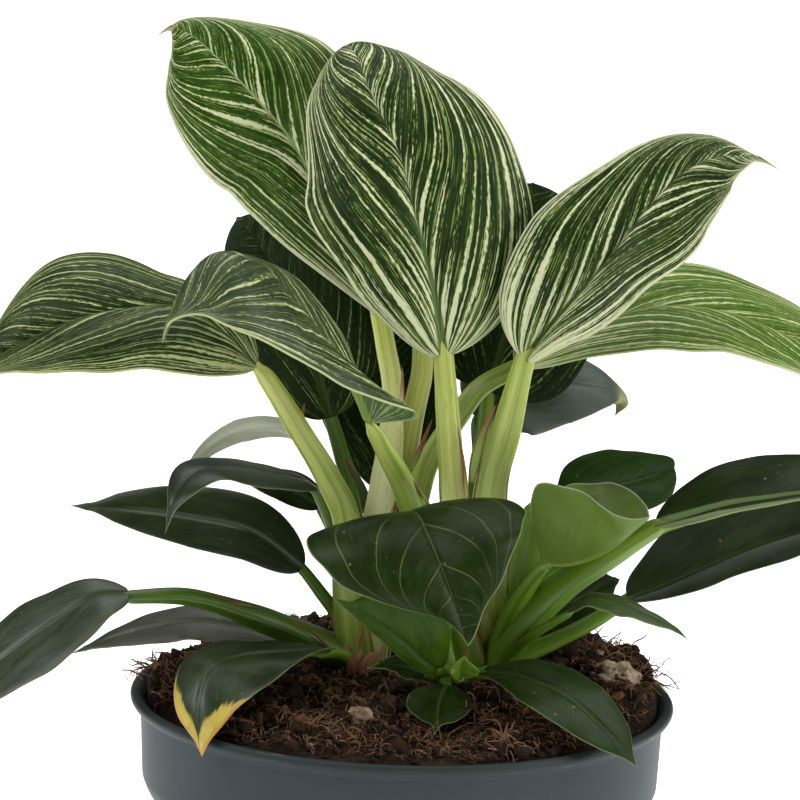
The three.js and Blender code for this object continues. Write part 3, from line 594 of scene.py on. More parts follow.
# Blades
blade = dict(  # what each blade has where the table gives it nothing of its own
    width=[10, 10],
    fold=[5, 5],
    curl=[-20, -20],
    widest=0.4,  # where it is widest, as a part of its length
    full=1.3,  # smaller is fuller towards both ends
    rootHalf=1.3,
    mucro=4,  # length of the fine point at the tip
    mucroHalf=0.45,
    tipFrom=0.12,  # the last part of the blade, where it draws in to its point
    tipDraw=0.3,
    hook=(0, 0, 0),  # which way the point turns
    joint=0.05,  # where the stalk meets the midrib
    keel=1.1,  # how far the midrib stands out below
    groove=0.3,  # how deep it lies above
    rims=(),
    thickness=0.45,
    tightFold=1.4,
    veinRise=0.83,  # how steeply a side vein climbs towards the tip on its way to the margin
    veinHug=0.35,  # how closely it first follows the midrib
    fanVeins=0.5,  # how many of the veins start at the foot of the blade instead of the midrib
    sideVeins=11,
)


def veinLine(t, reach):  # which side vein passes through a point, by where it leaves the midrib
    climb = 1 - np.clip(1 - reach, 1e-4, 1) ** blade["veinRise"]
    climb = climb + (reach ** 0.5 - climb) * blade["veinHug"] * (1 - reach)
    ahead = (t - climb) / (1.00001 - climb)
    lag = np.clip((climb - t) / (1.00001 - t), 0, 1)
    behind = -blade["fanVeins"] * (1 - (1 - lag) ** (1 / blade["veinRise"]))
    return np.where(t >= climb, ahead, behind)


def bladeFrame(leaf, s):
    centre = leaf["route"].at(s)
    tangent = leaf["route"].heading(s)
    ways = np.array([facing(*way) for way in leaf["face"]])
    fine = np.linspace(-0.2, 1.2, 281)
    place = np.clip(fine, 0, 1) * (len(ways) - 1)
    turned = np.stack([np.interp(place, range(len(ways)), ways[:, axis]) for axis in range(3)], 1)
    kernel = np.exp(-np.linspace(-2, 2, 17) ** 2)  # evens out the bends from one way to the next
    eased = np.stack([np.convolve(turned[:, axis], kernel / kernel.sum(), "same") for axis in range(3)], 1)
    normal = np.stack([np.interp(s, fine, eased[:, axis]) for axis in range(3)], 1)
    normal = unit(normal - tangent * (normal * tangent).sum(1, keepdims=True))
    return centre, tangent, normal, np.cross(tangent, normal)


def bladeSurface(leaf, s, u):
    centre, tangent, normal, across = (part[:, None, :] for part in bladeFrame(leaf, s))
    bladeEnd = 1 - leaf["mucro"] / leaf["route"].length
    s = s[:, None]
    t = np.minimum(s / bladeEnd, 1)
    reach = np.abs(u)[None, :]
    right = (u > 0)[None, :]
    look = looks[leaf["look"]]

    def sided(pair, at):
        return np.where(right, spread(pair[1], at), spread(pair[0], at))

    widest = leaf["widest"]
    p = leaf["full"] * widest
    q = leaf["full"] * (1 - widest)
    shape = t ** p * (1 - t) ** q / (widest ** p * (1 - widest) ** q)
    shape = shape * np.minimum((1 - t) / leaf["tipFrom"], 1) ** leaf["tipDraw"]
    spike = np.clip((s - bladeEnd) / (1 - bladeEnd), 0, 1)
    point = leaf["mucroHalf"] * (0.1 + 2 * (1 - spike) ** 1.3)
    taper = np.where(s < 0.5, leaf["rootHalf"], point)
    half = np.hypot(sided(leaf["width"], t) * shape, taper)

    tightest = np.arctan(half / leaf["tightFold"])
    fold = np.clip(np.radians(sided(leaf["fold"], s)), -tightest, tightest)
    curl = np.radians(sided(leaf["curl"], s)) + 1e-6
    out = (np.sin(fold + curl * reach) - np.sin(fold)) / curl
    lift = (np.cos(fold) - np.cos(fold + curl * reach)) / curl
    base = centre + across * (np.sign(u)[None, :, None] * (out * half)[..., None])
    base = base + normal * (lift * half)[..., None]
    for side, rim in enumerate(leaf["rims"]):  # a margin drawn out point by point
        edge = Route(rim + [leaf["spine"][-1]]).at(s)
        chord = edge - centre
        gap = np.linalg.norm(chord, axis=-1)
        swell = spread(leaf["bulge"][side], s) * gap * 4 * reach * (1 - reach)
        drawn = centre + chord * reach[..., None] + normal * swell[..., None]
        base = np.where((right == (side == 1))[..., None], drawn, base)
        half = np.where(right == (side == 1), gap, half)

    flow = veinLine(t, reach + 0 * t)
    turn = leaf["seed"] + 1.7 * right
    ripple = np.sin(2 * math.pi * (2.3 * t + 0.31 * turn))
    ripple = ripple + 0.6 * np.sin(2 * math.pi * (4.9 * t + 0.47 * turn))
    ripple = ripple * reach ** 3 * np.sin(math.pi * t) * leaf.get("ripple", look["ripple"])
    quilt = np.cos(2 * math.pi * leaf["sideVeins"] * flow) * 4 * reach * (1 - reach) * smooth(half, 3, 9)
    relief = ripple + look["quilting"] * quilt

    points = base + normal * relief[..., None]
    points = points + (spike ** 1.5)[..., None] * np.array(leaf["hook"])
    return points, t + 0 * reach, half, flow


def bladeMesh(leaf):
    length = leaf["route"].length
    rows = int(34 + 0.85 * length)
    columns = 2 * (20 if length > 40 else 14)
    even = np.linspace(0, 1, rows + 1)
    s = 0.4 * even + 0.6 * (0.5 - 0.5 * np.cos(math.pi * even))
    ramp = np.linspace(-1, 1, columns + 1)
    u = np.sign(ramp) * (0.5 - 0.5 * np.cos(math.pi * np.abs(ramp)))
    points, t, half, flow = bladeSurface(leaf, s, u)
    reach = np.abs(u)[None, :] + 0 * t
    lengthways = np.gradient(points, axis=0)
    crossways = np.gradient(points, axis=1)
    normal = unit(np.cross(crossways, lengthways) + 1e-9)
    rib = reach * half
    thick = leaf["thickness"] / 2 * np.sqrt(np.clip(1 - reach ** 14, 0, 1)) * np.minimum(half / 1.5, 1)
    fade = smooth(t, 1, 0.75)
    groove = leaf["groove"] * np.exp(-(rib / 0.6) ** 2) * fade
    keel = leaf["keel"] * (1 - t) + 0.15
    ridge = keel * np.exp(-(rib / (0.5 + 0.8 * keel)) ** 2) * smooth(half, 0.5, 3) * (1 - reach ** 6)
    upper = points + normal * (thick - groove)[..., None]
    lower = points - normal * (thick + ridge)[..., None]

    rimmed = np.zeros(t.shape, bool)
    rimmed[[0, -1], :] = True
    rimmed[:, [0, -1]] = True
    upper[rimmed] = points[rimmed]
    number = np.arange(t.size).reshape(t.shape)
    under = np.where(rimmed, number, 0)
    under[~rimmed] = t.size + np.arange((~rimmed).sum())
    faces = gridFaces(rows, columns, lambda i, j: int(number[i, j]))
    faces += [face[::-1] for face in gridFaces(rows, columns, lambda i, j: int(under[i, j]))]
    edge = (1 - reach) * half
    grow = np.stack([flow, reach, t], -1)
    near = np.stack([np.sign(u)[None, :] * rib, edge, 0 * t], -1)
    shaded = near + np.array([0, 0, 1.0])
    grow = np.vstack([grow.reshape(-1, 3), grow[~rimmed]])
    near = np.vstack([near.reshape(-1, 3), shaded[~rimmed]])
    return np.vstack([upper.reshape(-1, 3), lower[~rimmed]]), faces, grow, near


striped = dict(  # colours are dark and mid green, lime hair lines and pale stripes; margin is in millimetres
    slot="striped", gloss=0.1, roughness=0.42, quilting=0.13, ripple=0.45,
    dark=(0.005, 0.012, 0.003), mid=(0.022, 0.044, 0.009), lime=(0.18, 0.27, 0.05), pale=(0.53, 0.55, 0.34),
    bold=0.08, fine=0.08, dashes=0.07,  # more of each kind of stripe, or less below 0
    crowd=1.0,  # how much denser they are at the foot, the margin and the midrib
    rib=(0.05, 0.1, 0.015), ribWidth=1.1, ribReach=0.5,
    margin=0.5, marginPale=0.85, under=(0.09, 0.13, 0.06), dust=0, spots=0,
    underRib=(0.16, 0.24, 0.035), tip=(0.14, 0.12, 0.05), tipFrom=0.985,
    film=(0.07, 0.07, 0.055), specks=(0.12, 0.085, 0.05), dots=(0.15, 0.14, 0.08),
)
plain = dict(
    striped, slot="green", gloss=0.1, roughness=0.36, quilting=0.05, ripple=0.25,
    dark=(0.006, 0.014, 0.0015), mid=(0.014, 0.03, 0.003), lime=(0.05, 0.08, 0.02), pale=(0.2, 0.26, 0.1),
    bold=-0.3, fine=-0.3, dashes=-0.3, crowd=0, sideVein=0.15, veins=6, margin=0.22, marginPale=0.5,
    rib=(0.03, 0.055, 0.01), ribWidth=0.5, ribReach=1.0, dust=0.25, spots=0.3, tip=None,
)
looks = dict(
    striped=striped,
    # the next two looks paint backlight: their lighter greens stand in for light shining through the leaf
    # from behind
    brightBacklit=dict(striped, dark=(0.01, 0.028, 0.003), mid=(0.038, 0.085, 0.01), lime=(0.19, 0.3, 0.05),
                rib=(0.26, 0.33, 0.12), ribWidth=0.5, ribReach=1.05),
    glowingBacklit=dict(striped, dark=(0.03, 0.068, 0.005), mid=(0.085, 0.16, 0.014), lime=(0.25, 0.35, 0.06),
                 pale=(0.5, 0.55, 0.3), rib=(0.2, 0.28, 0.07), ribWidth=0.3, ribReach=1.05),
    streaked=dict(striped, crowd=0.6, bold=0.06, fine=0.12, lime=(0.13, 0.19, 0.05), pale=(0.4, 0.44, 0.2),
                  ribWidth=0.3),
    sheened=dict(striped, gloss=0.22, dark=(0.009, 0.02, 0.005), mid=(0.035, 0.058, 0.018),
                 lime=(0.14, 0.2, 0.06), pale=(0.4, 0.45, 0.22), bold=0.04, fine=0.07, crowd=0.5, margin=0.6,
                 roughness=0.44, under=(0.05, 0.1, 0.02), ribWidth=0.4),
    shaded=dict(striped, gloss=0.07, dark=(0.005, 0.011, 0.003), mid=(0.012, 0.025, 0.004),
                lime=(0.08, 0.13, 0.035), pale=(0.15, 0.2, 0.08), bold=-0.08, fine=0.02, dashes=-0.03,
                crowd=0.1, margin=0.25, rib=(0.03, 0.05, 0.01), ribReach=0.9, marginPale=0.4, tip=None),
    # slaty: a grey-green base colour that paints in a grey sheen; the dust film and specks on it are real
    slatyGreySheen=dict(plain, gloss=0.33, dark=(0.012, 0.024, 0.009), mid=(0.05, 0.066, 0.038), dust=1.2, spots=0.9),
    # hooked: a grey-blue base colour that paints in the sheen of the overhead light; the yellowed tip is real
    hookedGreySheen=dict(plain, gloss=0.45, roughness=0.38, quilting=0.03,
                dark=(0.045, 0.062, 0.045), mid=(0.085, 0.108, 0.085), tip=(0.42, 0.42, 0.17), tipFrom=0.9),
    green=plain,
    soft=dict(plain, gloss=0.35, dark=(0.024, 0.045, 0.008), mid=(0.042, 0.075, 0.015), dust=0.1, spots=0.1),
    speckledGreen=dict(plain, gloss=0.2, dark=(0.006, 0.016, 0.001), mid=(0.012, 0.033, 0.002), spots=1.1),
    glossyGreen=dict(plain, gloss=0.45, roughness=0.32),
    veined=dict(plain, sideVein=0.3, veins=3.2, margin=0.35, spots=0.9, dust=0.6, marginPale=0.7,
                rib=(0.05, 0.08, 0.02), ribWidth=0.3),
    shadyGreen=dict(plain, gloss=0.06, dark=(0.007, 0.024, 0.001), mid=(0.014, 0.04, 0.002), dust=0.1,
                    spots=0.1),
    # hazy: a lighter grey-green base colour painting the grey sheen on the folded leaf
    hazyGreySheen=dict(plain, gloss=0.42, roughness=0.34, dark=(0.014, 0.026, 0.01), mid=(0.034, 0.05, 0.024)),
    # dusty: a grey-brown base that is partly real dust and partly painted grey sheen, with dust film and
    # specks over it
    dustAndSheen=dict(plain, gloss=0.28, dark=(0.02, 0.024, 0.012), mid=(0.05, 0.052, 0.034), dust=1.6, spots=1),
    speckled=dict(plain, gloss=0.12, dark=(0.004, 0.01, 0.001), mid=(0.01, 0.026, 0.001), dust=0.4, spots=1.2,
                  sideVein=0.08),
    speckledSheen=dict(plain, gloss=0.32, dark=(0.006, 0.014, 0.002), mid=(0.02, 0.036, 0.01), dust=0.4,
                       spots=1.1, sideVein=0.04),
    fresh=dict(plain, dark=(0.02, 0.048, 0.003), mid=(0.038, 0.085, 0.004), dust=0.1, spots=0.1),
    # young: the lighter green of a young leaf, made lighter still as painted backlight shining through it
    young=dict(plain, slot="young", gloss=0.25, dark=(0.08, 0.135, 0.022), mid=(0.125, 0.19, 0.045),
               lime=(0.14, 0.22, 0.03), pale=(0.4, 0.43, 0.32), rib=(0.14, 0.22, 0.03), margin=0.25,
               marginPale=0.8, under=(0.075, 0.125, 0.01), dust=0, spots=0),
    # paleBackSheen: the pale underside of the leaf, brightened to silver as painted sheen
    paleBackSheen=dict(plain, dark=(0.2, 0.22, 0.15), mid=(0.4, 0.42, 0.34), under=(0.3, 0.32, 0.22), dust=0.1,
                  lime=(0.3, 0.33, 0.2), gloss=0.4, underRib=(0.42, 0.44, 0.34)),
    yellowing=dict(plain, yellow=(0.44, 0.35, 0.06), burnt=(0.38, 0.17, 0.03), dust=1.2, spots=0.6,
                   gloss=0.38),
)
looks["keeled"] = dict(looks["speckled"], rib=(0.1, 0.155, 0.045), ribWidth=1.5, ribReach=1.1)
# tender: young green brightened further, painted light on small leaves that stand in shade; partly the real
# vivid green of new growth
looks["tenderPaintedLight"] = dict(looks["young"], dark=(0.1, 0.18, 0.012), mid=(0.15, 0.26, 0.02), margin=0.1,
                       marginPale=0)

stripes = dict(  # how many of each kind there are, how wide and how frayed they are
    bold=dict(count=8.5, width=0.58, fray=0.42),
    fine=dict(count=21, width=0.75, fray=0.5),
    dashes=dict(count=52, width=1.2, fray=0.5),
)


def stripe(skin, kind, line, run, share, fray):  # above 0 on a stripe
    kind = stripes[kind]
    gap, own = skin.strands(line * kind["count"])
    swell = skin.noise(skin.point(own * 3.7, run * 1.8, kind["count"]), 1, 1)
    return (swell - 0.5 + share) * kind["width"] + fray * kind["fray"] - gap


def leafFinish(leaf):
    look = looks[leaf["look"]]
    skin = Finish("leaf_" + leaf["name"], Specular_IOR_Level=look["gloss"])
    flow, way, along = skin.parts("grow")
    rib, edge, under = skin.parts("near")
    sway = skin.noise(skin.point(flow * 2.5, way * 2, leaf["seed"] * 3.7)) - 0.5
    ahead = flow.most(0)
    ahead = ahead * ahead * ahead
    half = rib.step(-0.02, 0.02)  # each half and each leaf has stripes of its own
    line = flow + ahead * ahead * 0.6 + sway * 0.04 + half * 5.3 + leaf["seed"] * 3.7
    run = along + way * 0.4

    # Stripes follow the side veins: some bold, many fine, and hair lines broken into dashes
    crowd = edge.step(3.5, 0) + along.step(0.38, 0) * 1.7 + abs(rib).step(3, 0.5) * 0.5
    crowd = crowd * (look["crowd"] * 0.12)
    grain = skin.noise(skin.point(line * 140, run * 55, 3), 1, 1)
    broken = skin.noise(skin.point(line * 60, run * 30, 9), 1, 1)
    fray = grain * 0.4 + broken * 0.6 - 0.5
    bold = stripe(skin, "bold", line, run, look["bold"] + crowd - ahead * 0.1, fray)
    fine = stripe(skin, "fine", line, run, look["fine"] + crowd, fray).step(0, 0.08)
    dashes = stripe(skin, "dashes", line, run * 4, look["dashes"] + crowd, fray).step(0, 0.25)
    tone = skin.noise(skin.point(line * 55, run * 5, 5), 1, 2)
    cloud = skin.noise(skin.point(line * 4, run * 3, 7), 1, 2)

    skin.colour = skin.mix((tone * 0.6 + cloud * 0.5).step(0.38, 0.75), look["dark"], look["mid"])
    skin.coat(dashes * 0.7, look["lime"])
    skin.coat(fine * 0.85, skin.mix((crowd * 7 + cloud - 0.2).step(0, 1), look["lime"], look["pale"]))
    skin.coat(bold.step(-0.06, 0) * 0.7, look["lime"])
    skin.coat(bold.step(0, 0.03) * (broken.step(0.3, 0.45) * 0.3 + 0.7), look["pale"])
    if "sideVein" in look:
        beat = skin.node("ShaderNodeMath", {"operation": "PINGPONG"}, {0: line * look["veins"], 1: 0.5})
        vein = beat.step(0.035, 0.01) * (cloud.step(0.35, 0.6) * 0.7 + 0.3) * look["sideVein"]
        skin.coat(vein, look["pale"])

    # Midrib and margin
    reach = look["ribReach"]
    ribPlace = abs(rib) / ((reach - along).most(0) * (look["ribWidth"] / reach) + 0.07)
    midrib = (ribPlace + broken * 0.3).step(1.35, 0.9) * along.step(reach, reach - 0.25)
    skin.coat(midrib * 0.85, look["rib"])
    skin.coat((edge / look["margin"]).step(1.2, 0.6) * look["marginPale"], look["pale"])
    if "yellow" in look:
        patch = skin.noise(skin.point(flow * 4, way * 3, 5), 1, 3)
        gone = (along + patch * 0.2 + way * 0.36).step(1.09, 1.15)
        skin.coat(gone, look["yellow"])
        skin.coat(gone * (edge - patch * 2).step(0.2, -0.5) * 0.8, look["burnt"])
    skin.coat(under * 0.6, look["under"])
    skin.coat(under * abs(rib).step(1.6, 0.9) * along.step(0.8, 0.2) * 0.8, look["underRib"])
    place = skin.place()
    if look["dust"]:
        film = skin.noise(place, 300, 4, 0.6).step(0.5, 0.75) * look["dust"] * 0.25
        skin.coat(film, look["film"])
        speck = skin.cells(place, 380).step(0.16, 0.08) * skin.noise(place, 120, 2).step(0.55, 0.6)
        skin.coat(speck * look["spots"], look["specks"])
    if look["spots"] > 0.7:
        dots = skin.cells(place, 900).step(0.16, 0.06) * skin.noise(place, 60, 2).step(0.5, 0.6)
        skin.coat(dots * look["spots"] * 0.3, look["dots"])
    if look["tip"]:
        skin.coat(along.step(look["tipFrom"], 1.0) * 0.6, look["tip"])
    skin.paint(Base_Color=skin.colour)
    skin.paint(Roughness=skin.noise(place, 90, 3) * 0.2 + (look["roughness"] - 0.1) + under * 0.12)
    skin.bump(tone + broken * 0.5 + bold.step(0, 0.03) * 0.2, 0.25, 0.12 * mm)
    return skin.material


leaves = [
    dict(blade, seed=1.0 + number, route=Route(leaf["spine"]), **leaf)
    for number, leaf in enumerate(leafTable)
]


def makeLeaves():
    for leaf in leaves:
        points, faces, grow, near = bladeMesh(leaf)
        makePiece("blade_" + leaf["name"], points, faces, leafFinish(leaf), ["leaf_" + leaf["name"]],
                  dict(grow=grow, near=near))


# Stalks: channelled on the upper side, with the edges of a sheath rising from the channel lower down
stalk = dict(
    sides=28,
    flat=0.7,  # height of the upper side, as a part of the half width
    wing=0.3,  # how far the sheath's edges stand up, in the same measure
    sink=0.9,  # how far below the midrib the stalk's end lies
    green=[(0.06, 0.13, 0.006), (0.13, 0.24, 0.014)],  # from one streak to the next
    # painted shade: the darker green for stalks at the back and low down, laid where their tint is below 0
    paintedShade=(0.016, 0.04, 0.003),
    pale=[(0.3, 0.38, 0.05), (0.56, 0.58, 0.14)],
    cream=(0.74, 0.74, 0.42),
    hairs=[(0.12, 0.22, 0.02), (0.68, 0.68, 0.3)],
    flecks=(0.1, 0.19, 0.012),
    red=(0.17, 0.018, 0.013),
    dry=[(0.07, 0.025, 0.009), (0.24, 0.105, 0.04)],
)

sheaths = dict(  # how far down the sheath's tip is, how green or pale the stalk is, how deep its channel; a tint below 0 paints shade as a darker green
    front_tall=dict(reach=0.35, tint=[0.7, 0.95, 0.8], channel=0.1),
    top_left=dict(reach=0.5, tint=[0.85, 1.15, 1.3], channel=0.1),
    back_hidden=dict(reach=0.5, tint=[0.9, 0.9, 1.1], channel=0.1),
    upper_right=dict(reach=0.28, tint=[0.55, 0.4], channel=0.15),
    right_pale=dict(reach=0.6, tint=[0.35, 0.45], channel=0.2),
    far_left=dict(reach=0.5, tint=[0.75, 0.5, 0.3], channel=0.08),
    arching=dict(reach=0.7, tint=[0.55, 0.12, 0.05], channel=0.05),
    right_low=dict(reach=0.9, tint=[0.2, 0, -0.1], channel=0.05),
    low_far_left=dict(reach=0.95, tint=-0.3, channel=0.05),
    back_left=dict(reach=0.4, tint=-0.2, channel=0.2),
    back_right=dict(reach=0.9, tint=-0.2, channel=0.1),
    back_tall=dict(reach=0.9, tint=0.1, channel=0.1),
)


def stalkRing(angle, sheathed, channel):
    up = np.cos(angle) > 0
    sideways = np.sin(angle)
    upward = np.where(up, stalk["flat"], 1) * np.cos(angle)
    middle = np.exp(-(sideways / 0.5) ** 2) * up
    upward = upward - (channel + 0.15 * sheathed) * middle
    lifted = np.exp(-((np.abs(angle) - 1.15) / 0.22) ** 2) * sheathed * stalk["wing"]
    return sideways * (1 + 0.15 * lifted), upward + lifted, lifted


def addStalk(heap, leaf):
    top = leaf["route"].at(np.array([leaf["joint"], 0.0]))
    down = facing(*leaf["face"][0])
    top = top - down * stalk["sink"]
    route = Route([tuple(point) for point in top] + leaf["stalk"])
    sheath = sheaths.get(leaf["name"], dict(reach=0.8, tint=0.0, channel=0.15))
    rings = int(20 + 0.9 * route.length)
    s = np.linspace(0, 1, rings)
    centre = route.at(s)
    tangent = route.heading(s)
    up = unit(down - tangent * (tangent @ down)[:, None])
    across = np.cross(tangent, up)
    halfWide = spread(leaf["thick"], s) / 2 * (0.55 + 0.45 * smooth(s, 0, 0.06))
    tint = spread(sheath["tint"], s)
    angle = np.linspace(-math.pi, math.pi, stalk["sides"], endpoint=False)
    points = []
    grow = []
    near = []
    for k in range(rings):
        sheathed = float(smooth(s[k], sheath["reach"], sheath["reach"] + 0.12))
        sideways, upward, lifted = stalkRing(angle, sheathed, sheath["channel"])
        ring = centre[k] + halfWide[k] * (np.outer(sideways, across[k]) + np.outer(upward, up[k]))
        points.append(ring)
        grow.append(np.stack([angle / math.pi, np.full(len(angle), s[k]), np.full(len(angle), tint[k])], 1))
        near.append(np.stack([lifted / stalk["wing"], s[k] * route.length + 0 * angle,
                              leaf["seed"] + 0 * angle], 1))
    ends = [centre[0], centre[-1]]
    points = np.vstack(points + ends)
    grow = np.vstack(grow + [[0, 0, tint[0]], [0, 1, tint[-1]]])
    near = np.vstack(near + [[0, 0, leaf["seed"]], [0, route.length, leaf["seed"]]])
    sides = stalk["sides"]
    faces = tubeFaces(rings, sides)
    first = rings * sides
    last = first - sides
    faces += [(first, (k + 1) % sides, k) for k in range(sides)]
    faces += [(first + 1, last + k, last + (k + 1) % sides) for k in range(sides)]
    heap.add(points, faces, grow=grow, near=near)


def stalkFinish():
    skin = Finish("stalkSkin", Specular_IOR_Level=0.4)
    around, _, tint = skin.parts("grow")
    wing, down, seed = skin.parts("near")  # wing is 0 to 1 on a sheath's edge, and more where it is dry
    dry = wing.step(2, 2.4)
    streak = skin.noise(skin.point(around * 5, down * 0.012, seed * 3.1), 1, 2)
    fine = skin.noise(skin.point(around * 24, down * 0.02, seed * 1.7), 1, 1)
    fleck = skin.noise(skin.point(around * 22, down * 0.3, seed * 2.3), 1, 2)
    green = skin.mix(streak.step(0.35, 0.7), *stalk["green"])
    # painted shade: stalks with a tint below 0, at the back and low down, are darkened towards it
    green = skin.mix(tint.step(0.1, -0.4) * 0.8, green, stalk["paintedShade"])
    pale = skin.mix(streak.step(0.3, 0.65), *stalk["pale"])
    skin.colour = skin.mix(tint.step(-0.05, 1), green, pale)
    skin.coat(tint.step(0.85, 1.25) * 0.8, stalk["cream"])
    skin.coat(fine.step(0.5, 0.7) * 0.5, skin.mix(tint, *stalk["hairs"]))
    skin.coat(fleck.step(0.55, 0.75) * fine.step(0.6, 0.4) * 0.5, stalk["flecks"])
    red = wing.step(0.55, 0.95) * (fleck * 0.6 + fine * 0.5 + wing * 0.3).step(0.4, 0.75)
    skin.coat(red * 0.85, stalk["red"])
    skin.coat(dry * 0.9, skin.mix(fleck.step(0.3, 0.7), *stalk["dry"]))
    skin.paint(Base_Color=skin.colour, Roughness=0.3 + fleck * 0.15 + dry * 0.4)
    skin.bump(fine + streak * 0.5, 0.15, 0.12 * mm)
    return skin.material


# Pointed tips and edges of old sheaths against the stalks, green to red, and dry brown ones at the soil
sheathEdges = [
    dict(shoot="left", wide=2, tint=0.5, line=[(-24.6, -8, 163), (-24, -8, 167.5), (-23.2, -8, 171)]),
    dict(shoot="left", wide=3.2, tint=-0.5, red=0.6, line=[(-8, 3, 142), (-10.3, 2, 150), (-12.6, 1, 154.6),
         (-14.4, 1, 157.6)]),
    dict(shoot="left", wide=1.7, tint=1.1, red=0.8, line=[(-2.6, -1, 164), (-2.2, -1, 172),
         (-2.3, -1, 178.4)]),
    dict(shoot="left", wide=1.2, tint=1, line=[(-4, -6.5, 144), (-3.2, -6.5, 148), (-2.3, -6.5, 151)]),
    dict(shoot="right", wide=1.2, tint=0.1, line=[(4.6, -11, 150), (1.6, -12.5, 154.5), (-1, -12.5, 158),
         (-2.2, -12, 160.3)]),
    dict(shoot="left", wide=1.5, tint=0.3, line=[(0.4, -4, 156), (1.8, -4, 160), (3.3, -3.5, 164),
         (4.6, -3, 167.5)]),
    dict(shoot="right", wide=1.2, tint=0.6, line=[(12.5, -8.5, 149.7), (12.1, -9, 155.7),
         (11.2, -9.5, 161.4), (10, -10, 167.6)]),
    dict(shoot="right", wide=2.6, tint=0.4, red=0.75, line=[(13.6, -9, 155), (14.8, -9.5, 163),
         (16.6, -10.5, 169), (18.2, -11, 172.7)]),
    dict(shoot="left", wide=1.2, tint=-0.2, line=[(-33, -15.5, 127.2), (-38.8, -17, 128.8),
         (-42.1, -17.5, 130.6)]),
    dict(shoot="left", wide=0.9, tint=0, line=[(-13.4, -7, 114), (-17.2, -8.5, 117.8), (-20.6, -10, 121),
         (-24, -11.5, 123.6)]),
    dict(shoot="left", wide=4, dry=True, line=[(-11.1, -9, 110), (-10.1, -10, 114), (-9.3, -9.5, 117)]),
    dict(shoot="left", wide=4.5, dry=True, line=[(-8, -10, 110), (-7.5, -11, 114.5), (-5, -10.5, 117)]),
    dict(shoot="left", wide=3, dry=True, line=[(-9.8, -10, 111), (-11.9, -10, 115), (-12.8, -9, 118)]),
    dict(shoot="left", wide=1.1, tint=0, line=[(-10.6, -9, 115), (-9.6, -8.5, 119), (-8.4, -8, 122.5)]),
    dict(shoot="front", wide=1.4, tint=0, line=[(12.5, -23, 117), (13.2, -23, 119.5), (14, -23, 121.5)]),
]


def addSheathEdge(heap, edge):
    route = Route(edge["line"])
    rings = 12
    sides = 10
    s = np.linspace(0, 1, rings)
    centre = route.at(s)
    tangent = route.heading(s)
    across = unit(np.cross(tangent, facing(0, 10)))
    outward = np.cross(across, tangent)
    taper = (1 - s) ** 0.6 * (0.4 + 0.6 * smooth(s, 0, 0.3)) + 0.02
    angle = np.linspace(0, 2 * math.pi, sides, endpoint=False)
    wide = np.outer(edge["wide"] / 2 * taper, np.cos(angle))
    deep = np.outer(0.3 * taper + 0.05, np.sin(angle)) - 0.25 * (wide / edge["wide"]) ** 2
    points = centre[:, None] + wide[..., None] * across[:, None] + deep[..., None] * outward[:, None]
    around = np.tile(angle / math.pi, rings)
    down = np.repeat(s * route.length, sides)
    tint = np.full(len(down), edge.get("tint", 0))
    if "dry" in edge:
        redness = np.full(len(down), 3.0)
    else:  # reddest at the tip and along one edge
        redness = 0.35 + 0.9 * down / route.length + 0.3 * np.abs(np.cos(math.pi * around))
        redness = edge.get("red", 1) * redness
    heap.add(points.reshape(-1, 3), closedTube(rings, sides), grow=np.stack([around, 0 * down, tint], 1),
             near=np.stack([redness, down, 0 * down + 1], 1))


shoots = dict(
    left=dict(at=(-8, 2, 0), radius=9, top=122),
    right=dict(at=(18, 1, 0), radius=9.5, top=124),
    front=dict(at=(9, -16, 0), radius=4.5, top=116),
)


def addStem(heap, shoot):
    radius = shoot["radius"]
    top = shoot["top"]
    foot = 92
    profile = [(0, foot), (0.7 * radius, foot), (radius, foot + 3), (radius, top - 16),
               (0.86 * radius, top - 12), (0.6 * radius, top - 10), (0.3 * radius, top - 9), (0, top - 9)]
    addTurned(heap, profile, 40, shoot["at"])


turnedShade = dict(grow=[0.5, 1, 0.1], near=[0, 40, 1])  # a stem is coloured like a stalk near its foot


def addTurned(heap, profile, sectors, at=(0, 0, 0)):
    angles = np.linspace(0, 2 * math.pi, sectors, endpoint=False)
    points = []
    rings = []
    for radius, height in profile:
        rings.append(len(points))
        if radius == 0:
            points.append((at[0], at[1], at[2] + height))
        else:
            points += [(at[0] + radius * math.cos(a), at[1] + radius * math.sin(a), at[2] + height)
                       for a in angles]
    faces = []
    for k, (low, high) in enumerate(zip(profile, profile[1:])):
        a = rings[k]
        b = rings[k + 1]
        for i in range(sectors):
            j = (i + 1) % sectors
            if low[0] == 0:
                faces.append((a, b + j, b + i))
            elif high[0] == 0:
                faces.append((a + i, a + j, b))
            else:
                faces.append((a + i, a + j, b + j, b + i))
    heap.add(points, faces, grow=np.tile(turnedShade["grow"], (len(points), 1)),
             near=np.tile(turnedShade["near"], (len(points), 1)))


def makeStalks():
    finish = stalkFinish()
    for side, shoot in shoots.items():
        heap = Heap()
        addStem(heap, shoot)
        for leaf in leaves:
            if leaf["shoot"] == side:
                addStalk(heap, leaf)
        for edge in sheathEdges:
            if edge["shoot"] == side:
                addSheathEdge(heap, edge)
        heap.piece("petioles_" + side, finish, "stalk", ["stalks_" + side])


# Pot
pot = dict(
    height=105, lip=60, lipDrop=2.6, wall=1.6, collar=57.4, collarFoot=84, body=52.4, shoulder=77,
    base=43, chamfer=1.6, floor=2, drainHoles=6, drainRadius=4, drainCircle=30, sectors=144,
    plastic=[(0.029, 0.039, 0.044), (0.037, 0.048, 0.053)], mark=(0.12, 0.135, 0.145),
    # the lip's darker plastic colours on the next line are painted shade; its scuff colour is real wear
    lipShadedPlastic=[(0.02, 0.028, 0.029), (0.034, 0.042, 0.042)], scuff=(0.16, 0.16, 0.14),
)


